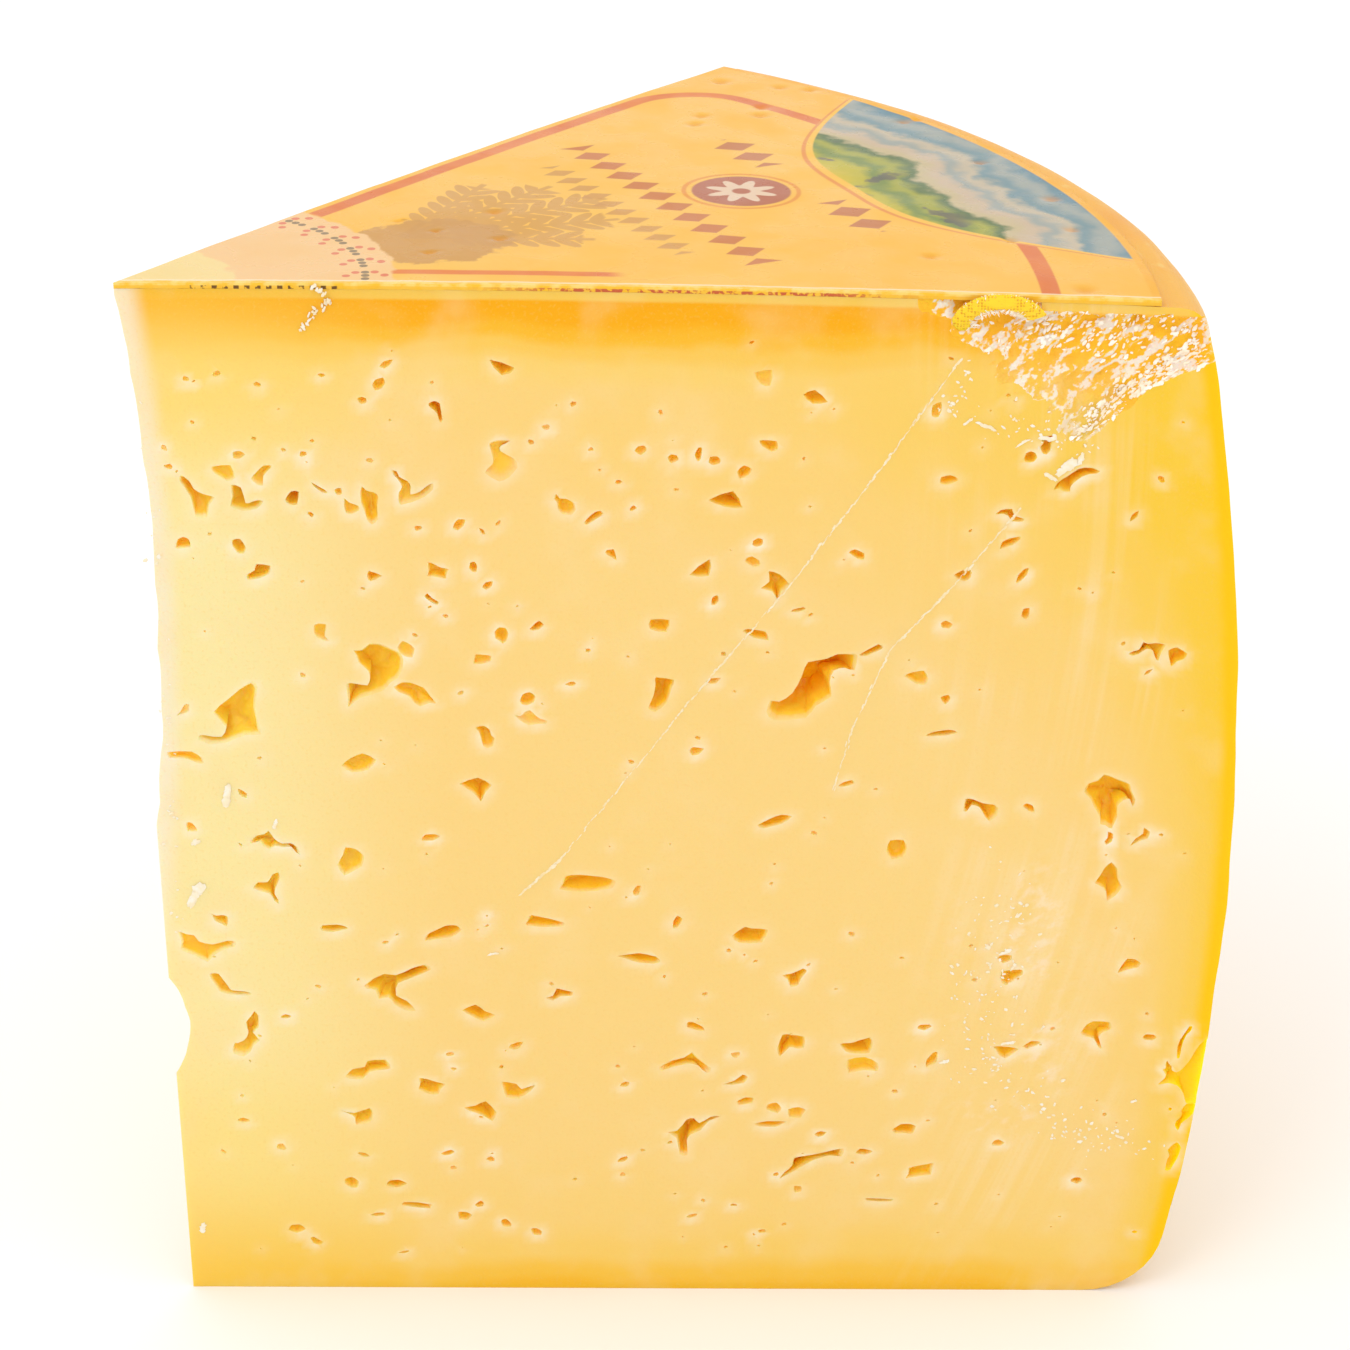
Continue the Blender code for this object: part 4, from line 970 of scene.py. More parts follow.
def curl_spot(turn, across, out):
    """A place on the curl: its turn, and how far across and out of its middle line."""
    reach = CURL_RADIUS + across
    forward = CURL_CREST * math.sin(turn) + out
    return CURL_MIDDLE + Vector((CURL_STRETCH * reach * math.cos(turn), -forward, reach * math.sin(turn)))


def skin_curl():
    """A flat strip spun through the curl's turn, then brought forward and bumped."""
    bm = bmesh.new()
    reaches = [CURL_RADIUS + CURL_WIDTH * (k / CURL_ROWS - 0.5) for k in range(CURL_ROWS + 1)]
    edges = [bm.verts.new((reach, 0, 0)) for reach in reaches]
    line = [bm.edges.new(pair) for pair in zip(edges, edges[1:])]
    bmesh.ops.spin(bm, geom=edges + line, cent=(0, 0, 0), axis=(0, -1, 0), angle=CURL_SPAN[1] - CURL_SPAN[0],
                   steps=CURL_STEPS, use_merge=False, use_duplicate=False)
    bmesh.ops.recalc_face_normals(bm, faces=bm.faces)
    draw = random.Random(3)
    for vert in bm.verts:
        turn = math.atan2(vert.co.z, vert.co.x) % math.tau + CURL_SPAN[0]
        across = math.hypot(vert.co.x, vert.co.z) - CURL_RADIUS
        ragged = 0.12 * noise.noise((turn * 9, across, 1.0)) if abs(across) > 0.6 * CURL_WIDTH / 2 else 0
        vert.co = curl_spot(turn, across + ragged, 0.25 + draw.uniform(0, 0.03) - 0.3 * across * across)
    bmesh.ops.recalc_face_normals(bm, faces=bm.faces)
    bmesh.ops.solidify(bm, geom=bm.faces[:], thickness=CURL_THICKNESS)
    bmesh.ops.recalc_face_normals(bm, faces=bm.faces)
    return bm


def skin_finish():
    """The skin's outer side: bright yellow wax with rows of small dots."""
    made, tree, shader = new_finish("skin_wax", 0.4)
    place = use_group(tree, PLACE)["Place"]
    dots = add_node(tree, "ShaderNodeTexVoronoi")
    dots.inputs["Scale"].default_value = 2.6
    dots.inputs["Randomness"].default_value = 0.15
    feed(tree, [dots.inputs["Vector"]], place)
    dimple = fade(tree, dots.outputs["Distance"], 0.45, 0.15)
    colour = mixed(tree, dimple, ink(255, 208, 14, 1), ink(240, 160, 0, 1))
    feed(tree, [shader.inputs["Base Color"]], colour)
    relief(tree, shader, minus(tree, 1, dimple), 0.1)
    soak_light(shader, 0.5, 1)
    return made


curl = as_object("skin_curl", skin_curl())
curl.data.materials.append(skin_finish())
curl.data.transform(TO_FRAME)
curl.data.polygons.foreach_set("use_smooth", [True] * len(curl.data.polygons))
curl.data.set_sharp_from_angle(angle=math.radians(50))
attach(curl, "root")


# Flakes of dry curd: pale shards that stand on the torn corner where the crust
# pulled away, thickest along the steep edge, and a fringe of fibres at the curl.
TORN_RIDGE = ((115.5, 124.6), (119.5, 128.4), (123.6, 131.4), (127.0, 133.4), (131.0, 135.4))
TOP_BAND = ((112.0, 140.0), (131.5, 139.6))
INNER_TEAR = ((104.0, 137.0), (128.0, 137.0))
FLAKES = ((TORN_RIDGE, 420, 1.1), (TOP_BAND, 130, 0.6), (INNER_TEAR, 240, 2.8))
FLAKE_LENGTH = (0.2, 1.2)
FIBRES = 300
FIBRE_LENGTH = (0.3, 1.2)
INNER_FIBRES = 0.55


def on_line(line, along):
    """The place a part of the way along a line of points."""
    reach = along * (len(line) - 1)
    k = min(int(reach), len(line) - 2)
    return Vector(line[k]).lerp(Vector(line[k + 1]), reach - k)


def add_flake(bm, spot, along, normal, size, draw):
    """A small uneven lump with its length one way and its thickness another."""
    made = bmesh.ops.create_icosphere(bm, subdivisions=2, radius=0.5)["verts"]
    seed = Vector((draw.uniform(0, 99), draw.uniform(0, 99), 0))
    for vert in made:
        vert.co += 0.36 * noise.noise_vector(vert.co * 2.8 + seed)
    along = along.normalized()
    across = along.cross(normal).normalized()
    facing = Matrix((along, across, across.cross(along))).transposed().to_4x4()
    stretch = Matrix.Diagonal((*size, 1))
    bmesh.ops.transform(bm, matrix=Matrix.Translation(spot) @ facing @ stretch, verts=made)


def torn_flakes():
    """Shards along the torn corner's lines and fibres at both sides of the curl."""
    bm = bmesh.new()
    draw = random.Random(11)
    for line, count, spread in FLAKES:
        for _ in range(count):
            x, z = on_line(line, draw.random())
            x, z = x + draw.gauss(0, spread), z + draw.gauss(0, spread * 0.6)
            depth = fine_tear_depth(x, z)
            if depth < -0.05 or z > top_height(x) - 0.4 or x > rim_radius(z) - 0.8:
                continue
            length = draw.triangular(*FLAKE_LENGTH, FLAKE_LENGTH[0])
            lean = math.radians(draw.gauss(42, 22))
            along = Vector((math.cos(lean), draw.uniform(-0.4, 0.4), math.sin(lean)))
            size = (length, length * draw.uniform(0.3, 0.6), length * draw.uniform(0.12, 0.3))
            add_flake(bm, Vector((x, depth - 0.05, z)), along, Vector((0, -1, 0)), size, draw)
    for _ in range(FIBRES):
        turn = draw.uniform(CURL_SPAN[0], CURL_SPAN[1] + 0.35)
        side = -1 if draw.random() < INNER_FIBRES else 1
        across = side * CURL_WIDTH * draw.uniform(0.4, 0.56 - 0.2 * side)
        spot = curl_spot(turn, across, draw.uniform(-0.5, 0.1))
        out = curl_spot(turn, across * 2, draw.uniform(-1.2, 0.2)) - spot
        astray = Vector([draw.uniform(-reach, reach) for reach in (0.7, 0.4, 0.7)])
        length = draw.uniform(*FIBRE_LENGTH) * (0.8 - 0.2 * side)
        size = (length, draw.uniform(0.06, 0.15), draw.uniform(0.06, 0.12))
        add_flake(bm, spot, out.normalized() + astray, Vector((0, -1, 0)), size, draw)
    return bm


def dry_curd_finish(name, chalk, cream):
    """Dry curd: chalky, with patches of cream."""
    made, tree, shader = new_finish(name, 0.65, 0.3)
    place = use_group(tree, PLACE)["Place"]
    colour = mixed(tree, fade(tree, noise_at(tree, place, 0.8, 3), 0.38, 0.62), chalk, cream)
    feed(tree, [shader.inputs["Base Color"]], colour)
    relief(tree, shader, noise_at(tree, place, 4, 3), 0.03)
    return made


def loose_piece(name, bm, finish):
    """An object of small lumps, put in the frame."""
    made = as_object(name, bm)
    made.data.materials.append(finish)
    made.data.transform(TO_FRAME)
    made.data.polygons.foreach_set("use_smooth", [True] * len(made.data.polygons))
    made.data.set_sharp_from_angle(angle=math.radians(30))
    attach(made, "root")
    return made


DRY_CURD = dry_curd_finish("dry_curd", ink(255, 250, 240, 1), ink(255, 240, 216, 1))
loose_piece("torn_flakes", torn_flakes(), DRY_CURD)


# Cut lines: fine raised threads of curd that a nick in the knife left on the
# front cut face, broken up into beads.
CUT_LINES = (
    ((100.8, 134.3), (91.5, 120.1), (80.7, 104.8), (69.5, 90.5), (51.5, 66.3), (46.2, 61.1)),
    ((108.6, 114.9), (100.4, 104.2), (93.2, 96.0), (88.6, 85.0), (86.0, 75.0)),
)
BEAD_STEP = 0.42


def cut_lines():
    """Beads strung along the lines, in places thin enough to vanish in the paste."""
    bm = bmesh.new()
    draw = random.Random(5)
    for line in CUT_LINES:
        length = sum(math.dist(*ends) for ends in zip(line, line[1:]))
        steps = round(length / BEAD_STEP)
        for k in range(steps):
            x, z = on_line(line, k / steps)
            ahead = on_line(line, min((k + 1) / steps, 1)) - on_line(line, max((k - 1) / steps, 0))
            swell = 0.6 + 0.8 * noise.noise((k * 0.21, line[0][0], 0))
            if swell < 0.28:
                continue
            size = (draw.uniform(0.5, 0.9), draw.uniform(0.2, 0.36) * swell, draw.uniform(0.08, 0.14) * swell)
            spot = Vector((x + draw.gauss(0, 0.07), -0.01, z + draw.gauss(0, 0.07)))
            add_flake(bm, spot, Vector((ahead.x, 0, ahead.y)), Vector((0, -1, 0)), size, draw)
    return bm


loose_piece("cut_lines", cut_lines(), dry_curd_finish("curd_thread", ink(255, 240, 205), ink(254, 228, 172)))


# Crumbs: curd that the knife rubbed off. Single chips and flaps are given by
# place, length, breadth and tilt; the fine crumbs lie in smears.
CHIPS = (
    (9.3, 75.4, 3.0, 1.1, 80), (4.9, 68.8, 1.2, 0.8, 20), (4.2, 60.9, 3.4, 1.5, 62),
    (15.2, 71.4, 1.2, 0.5, 70), (1.9, 9.6, 1.4, 0.8, 75), (42.5, 52.4, 1.3, 0.4, 12),
    (108.9, 52.8, 1.4, 0.6, 25), (110.0, 50.6, 1.0, 0.5, 60), (109.7, 39.1, 1.6, 0.6, 10),
    (101.4, 36.2, 1.2, 0.5, 20), (114.0, 120.4, 2.6, 1.4, 40), (112.2, 119.2, 1.6, 0.7, -30),
    (111.6, 124.2, 1.9, 0.6, -5), (115.8, 121.6, 1.4, 0.9, 70), (104.2, 125.8, 2.2, 0.5, -20),
    (102.0, 126.4, 1.2, 0.4, 40), (108.6, 123.6, 1.6, 0.4, 35), (126.6, 30.2, 0.8, 0.5, 20),
    (125.0, 24.6, 1.1, 0.4, -20),
)
CHAIN = ((23.7, 144.0), (25.7, 142.2), (24.0, 140.6), (22.1, 138.3))
SMEARS = (
    (((108.5, 64.0), (107.6, 48.0), (106.0, 33.0)), 150, 2.6),
    (((112.0, 34.0), (119.8, 23.5), (128.6, 24.4)), 90, 2.0),
    (((103.0, 134.0), (101.0, 130.5), (99.0, 127.0)), 26, 0.6),
    (((106.0, 127.0), (112.0, 124.0), (117.0, 124.5)), 60, 1.6),
    (((2.6, 132.0), (2.4, 90.0), (1.6, 55.0)), 40, 0.5),
)
CRUMB_LENGTH = (0.18, 0.75)


def loose_crumbs(outward=Vector((0, -1, 0))):
    """Chips, and a chain of crumbs at the top edge."""
    bm = bmesh.new()
    draw = random.Random(17)
    for x, z, length, breadth, tilt in CHIPS:
        lean = math.radians(tilt)
        for part in (-0.3, 0, 0.3):
            along = Vector((math.cos(lean), -0.06, math.sin(lean) + draw.uniform(-0.3, 0.3)))
            spot = Vector((x + part * length * math.cos(lean), -0.03, z + part * length * math.sin(lean)))
            add_flake(bm, spot, along, outward, (length * 0.6, breadth * draw.uniform(0.6, 1), 0.2), draw)
    for k in range(26):
        x, z = on_line(CHAIN, k / 25)
        size = (draw.uniform(0.3, 0.9), draw.uniform(0.25, 0.5), draw.uniform(0.2, 0.45))
        spot = Vector((x + draw.gauss(0, 0.2), -0.12 - 0.3 * (z > 142), z + draw.gauss(0, 0.2)))
        add_flake(bm, spot, Vector((draw.uniform(-1, 1), 0, 1)), outward, size, draw)
    return bm


def rubbed_crumbs(outward=Vector((0, -1, 0))):
    """Smears of fine crumbs, still moist."""
    bm = bmesh.new()
    draw = random.Random(19)
    for line, count, spread in SMEARS:
        for _ in range(count):
            x, z = on_line(line, draw.random())
            length = draw.triangular(*CRUMB_LENGTH, CRUMB_LENGTH[0])
            spot = Vector((x + draw.gauss(0, spread), -0.02, z + draw.gauss(0, spread)))
            along = Vector((draw.uniform(-1, 1), 0, draw.uniform(-1, 1)))
            size = (length, length * draw.uniform(0.4, 0.8), length * draw.uniform(0.2, 0.35))
            add_flake(bm, spot, along, outward, size, draw)
    return bm


MOIST_CURD = dry_curd_finish("moist_curd", ink(255, 247, 228), ink(255, 238, 200))
loose_piece("loose_crumbs", loose_crumbs(), MOIST_CURD)
loose_piece("rubbed_crumbs", rubbed_crumbs(), MOIST_CURD)


# The film: a clear film shrunk on the wheel's top over its printed label, cut
# through with the cheese. It lies close on the crowned top, with small dimples
# where it was pressed in, and its cut edge is a little frayed.
FILM_RADIUS = 124.5
FILM_THICKNESS = 0.72
FILM_REST = 0.02
FILM_RINGS = 166
FILM_TURNS = 170
DIMPLES = ((71.7, 92.8, 1.8), (80.1, 90.2, 1.6), (84.2, 89.1, 1.4), (77.4, 79.2, 1.6), (77.2, 74.9, 1.8),
           (69.2, 74.0, 1.5), (68.3, 69.7, 1.5), (97.0, 73.3, 1.3), (98.8, 74.6, 1.3), (106.2, 54.3, 1.3),
           (114.5, 38.7, 1.6), (115.6, 3.0, 2.0), (36.8, 20.2, 0.9), (32.0, 24.1, 0.8), (43.6, 28.0, 1.4),
           (36.7, 11.8, 1.0), (44.9, 17.4, 1.2), (97.7, 13.8, 1.5), (108.0, 21.0, 1.3), (116.0, 26.0, 1.3))
PRINT_LEAN = math.radians(27.3)       # the print is set out about the wedge's middle line

LABEL_RADIUS = 125.5
STRIPE_RADIUS = 111.5
STRIPE_INSET = 2.2
STRIPE_CORNER = 11.0
STRIPE_WIDTH = 2.3
CREAM_END = 33.5
STITCH = 1.15
PANEL = (98.5, 123.6)                 # the coloured panel, from and to the axis
PANEL_TURN = (math.radians(7.0), math.radians(43.0))
SHEAF_FOOT = (37.0, 0.5)
SHEAF_LEAN = math.radians(7)
SHEAF_EARS = ((-34, 16, 3.3), (-17, 20, 3.6), (0, 22, 3.8), (17, 20, 3.6), (34, 16, 3.3))
MOUND = (39.5, -2.6, 11.0, 9.0)
ROSETTE = (84.0, 0.0, 6.4)
LOZENGE_ROWS = ((66.0, 20.0, 1.4, 4.6, 0), (73.2, 27.0, 2.0, 5.4, 0), (92.6, 22.0, 2.2, 6.2, 8.6))


def printed_film():
    """A thin sector, spun about the axis and closed at both cuts."""
    bm = bmesh.new()
    radii = [FILM_RADIUS * k / FILM_RINGS for k in range(FILM_RINGS + 1)]
    lower = [bm.verts.new((r, 0, top_height(r) + FILM_REST)) for r in radii]
    upper = [bm.verts.new((r, 0, top_height(r) + FILM_REST + FILM_THICKNESS)) for r in radii]
    around = lower + upper[::-1]
    edges = [bm.edges.new(pair) for pair in zip(around, around[1:])]
    bmesh.ops.spin(bm, geom=around + edges, cent=(0, 0, 0), axis=(0, 0, 1),
                   angle=WEDGE_ANGLE, steps=FILM_TURNS, use_merge=False, use_duplicate=False)
    bmesh.ops.remove_doubles(bm, verts=bm.verts, dist=0.0001)
    for across in (Vector((0, 1, 0)), Vector((-math.sin(WEDGE_ANGLE), math.cos(WEDGE_ANGLE), 0))):
        side = [edge for edge in bm.edges if all(abs(vert.co.dot(across)) < 0.001 for vert in edge.verts)
                and edge.is_boundary]
        bmesh.ops.contextual_create(bm, geom=side)
    bmesh.ops.triangulate(bm, faces=[face for face in bm.faces if len(face.verts) > 4])
    bmesh.ops.recalc_face_normals(bm, faces=bm.faces)
    dimple = bm.verts.layers.float.new("dimple")
    for vert in bm.verts:
        wave = 0.05 * noise.fractal((vert.co.x * 0.12, vert.co.y * 0.12, 1.0), 1.0, 2.0, 3)
        press = 0
        for x, y, size in DIMPLES:
            away = math.hypot(vert.co.x - x, vert.co.y - y) / size
            press += 0.34 * max(0, 1 - away * away) ** 2
        # The dimple attribute carries the painted shade of each dent to the finish.
        vert[dimple] = min(press * 3, 1)
        upper_side = vert.co.z > top_height(math.hypot(vert.co.x, vert.co.y)) + FILM_REST + 0.3
        if upper_side:
            vert.co.z += wave - min(press, 0.32)
        if abs(vert.co.y) < 0.001:
            vert.co.y -= 0.03 + 0.1 * noise.fractal((vert.co.x * 0.9, vert.co.z * 0.5, 7.0), 1.0, 2.0, 4)
    return bm


def between(tree, value, low, high, soft=0.2):
    """1 where a value is between two limits, with soft edges."""
    return times(tree, fade(tree, value, low - soft, low + soft), fade(tree, value, high + soft, high - soft))


def both(tree, first, second):
    """Where two masks both hold."""
    return times(tree, first, second)


def either(tree, first, second):
    """Where at least one of two masks holds."""
    return maths(tree, "MAXIMUM", first, second)


def set_out(tree, place, spot, lean):
    """The two flat coordinates of a place, measured from a spot and turned."""
    turned = add_node(tree, "ShaderNodeMapping", vector_type="TEXTURE")
    feed(tree, turned.inputs, place, (*spot, 0), (0, 0, lean), (1, 1, 1))
    parts = add_node(tree, "ShaderNodeSeparateXYZ")
    feed(tree, parts.inputs, turned.outputs[0])
    return parts.outputs[0], parts.outputs[1]


def on_middle_line(along, across):
    """A spot given along and across the print's middle line."""
    return (along * math.cos(PRINT_LEAN) - across * math.sin(PRINT_LEAN),
            along * math.sin(PRINT_LEAN) + across * math.cos(PRINT_LEAN))


def lozenge(tree, along, across, length, breadth):
    """A lozenge about 0, with slightly soft edges."""
    reach = plus(tree, maths(tree, "DIVIDE", maths(tree, "ABSOLUTE", along), length),
                 maths(tree, "DIVIDE", maths(tree, "ABSOLUTE", across), breadth))
    return fade(tree, reach, 1.06, 0.94)


def grain(tree, along, across, length, breadth):
    """An oval about 0."""
    a = maths(tree, "DIVIDE", along, length)
    b = maths(tree, "DIVIDE", across, breadth)
    reach = plus(tree, times(tree, a, a), times(tree, b, b))
    return fade(tree, reach, 1.1, 0.9)


def border_stripe(tree, place, radius):
    """A stripe beside the cut at the back, round a corner and along the rim."""
    _, over = set_out(tree, place, (0, 0), WEDGE_ANGLE)
    inward = minus(tree, times(tree, over, -1), STRIPE_INSET)
    inside = minus(tree, STRIPE_RADIUS, radius)
    first = maths(tree, "MAXIMUM", minus(tree, STRIPE_CORNER, inward), 0)
    second = maths(tree, "MAXIMUM", minus(tree, STRIPE_CORNER, inside), 0)
    square = plus(tree, times(tree, first, first), times(tree, second, second))
    rounded = minus(tree, STRIPE_CORNER, maths(tree, "SQRT", square))
    return between(tree, rounded, -STRIPE_WIDTH / 2, STRIPE_WIDTH / 2, 0.15)


def stitch_band(tree, radius, turn):
    """A row of cross-stitches: dark ones in the middle, red ones at both sides."""
    along = times(tree, turn, CREAM_END - 4)
    level = maths(tree, "DIVIDE", minus(tree, radius, CREAM_END - 6.5), STITCH)
    row = maths(tree, "FLOOR", level)
    step = maths(tree, "FLOOR", maths(tree, "DIVIDE", along, STITCH))
    a = minus(tree, maths(tree, "FRACT", maths(tree, "DIVIDE", along, STITCH)), 0.5)
    b = minus(tree, maths(tree, "FRACT", level), 0.5)
    dot = grain(tree, a, b, 0.44, 0.44)
    from_middle = maths(tree, "ABSOLUTE", minus(tree, row, 2))
    beat = maths(tree, "MODULO", plus(tree, step, from_middle), 4)
    dark = both(tree, between(tree, from_middle, -0.5, 0.5, 0.1), between(tree, beat, 0.5, 3.5, 0.1))
    red = both(tree, between(tree, from_middle, 0.5, 2.5, 0.1), between(tree, beat, -0.5, 0.5, 0.1))
    return both(tree, dot, red), both(tree, dot, dark)


def sheaf(tree, place):
    """A bound sheaf of ripe ears: rows of grains that fan out from one foot."""
    spot = on_middle_line(*SHEAF_FOOT)
    mask = 0.0
    for lean, length, breadth in SHEAF_EARS:
        along, across = set_out(tree, place, spot, PRINT_LEAN + SHEAF_LEAN + math.radians(lean))
        away = maths(tree, "ABSOLUTE", across)
        slide = minus(tree, along, times(tree, away, 0.8))
        cell = minus(tree, maths(tree, "MODULO", slide, 2.6), 1.3)
        grains = grain(tree, cell, minus(tree, away, breadth * 0.45), 1.15, breadth * 0.52)
        ear = both(tree, grains, between(tree, along, 6.5, 6.5 + length, 0.3))
        stalk = both(tree, fade(tree, away, 0.55, 0.35), between(tree, along, 0, 8 + length, 0.3))
        mask = either(tree, either(tree, ear, stalk), mask)
    return mask


def mound(tree, place):
    """A low mound with a ragged edge, under the sheaf."""
    along, across = set_out(tree, place, on_middle_line(*MOUND[:2]), PRINT_LEAN)
    a, b = maths(tree, "DIVIDE", along, MOUND[2]), maths(tree, "DIVIDE", across, MOUND[3])
    reach = maths(tree, "SQRT", plus(tree, times(tree, a, a), times(tree, b, b)))
    ragged = maths(tree, "MULTIPLY_ADD", noise_at(tree, place, 0.35, 5), 0.7, reach)
    return fade(tree, ragged, 1.32, 1.24)


def lozenge_row(tree, place, along, reach, length, breadth, gap=0.0):
    """A straight row of lozenges across the print's middle line."""
    forward, across = set_out(tree, place, (0, 0), PRINT_LEAN)
    pitch = length * 2 + 0.9
    cell = minus(tree, maths(tree, "MODULO", plus(tree, across, 50 * pitch), pitch), pitch / 2)
    shape = lozenge(tree, cell, minus(tree, forward, along), length, breadth / 2)
    away = maths(tree, "ABSOLUTE", across)
    row = between(tree, away, gap, reach, 0.1) if gap else fade(tree, away, reach, reach - 0.2)
    return both(tree, shape, row)


def rosette(tree, place):
    """A round medallion with eight petals."""
    forward, across = set_out(tree, place, on_middle_line(*ROSETTE[:2]), PRINT_LEAN)
    radius = maths(tree, "SQRT", plus(tree, times(tree, forward, forward),
                                       times(tree, across, across)))
    turn = maths(tree, "ARCTAN2", across, forward)
    petal = maths(tree, "MULTIPLY_ADD", maths(tree, "COSINE", times(tree, turn, 8)), 1.1, 3.6)
    petals = times(tree, fade(tree, minus(tree, radius, petal), 0.25, -0.25),
                   fade(tree, radius, 1.0, 1.4))
    disc = fade(tree, radius, ROSETTE[2] + 0.2, ROSETTE[2] - 0.2)
    ring = between(tree, radius, ROSETTE[2] + 0.7, ROSETTE[2] + 1.3, 0.15)
    return disc, petals, ring


def panel_print(tree, place, radius, turn):
    """The panel by the rim: wavy ribbons of blue, cream and green with daisies."""
    swell = times(tree, maths(tree, "SINE", times(tree, turn, 21)), 1.6)
    ripple = times(tree, maths(tree, "SINE", times(tree, turn, 47)), 0.7)
    wash = times(tree, minus(tree, noise_at(tree, place, 0.28, 4), 0.5), 5.5)
    level = plus(tree, plus(tree, radius, swell), plus(tree, ripple, wash))
    start = PANEL[0] - 6
    return colour_steps(tree, minus(tree, level, start), 36,
                        (4, ink(216, 190, 54)), (8, ink(198, 184, 50)), (10.5, ink(128, 144, 66)),
                        (13, ink(172, 170, 60)), (15.5, ink(100, 120, 68)), (17, ink(206, 186, 142)),
                        (19.5, ink(208, 184, 154)), (21.5, ink(164, 168, 158)), (24, ink(202, 186, 158)),
                        (26, ink(124, 150, 154)), (29, ink(166, 170, 160)), (32, ink(104, 140, 152)))


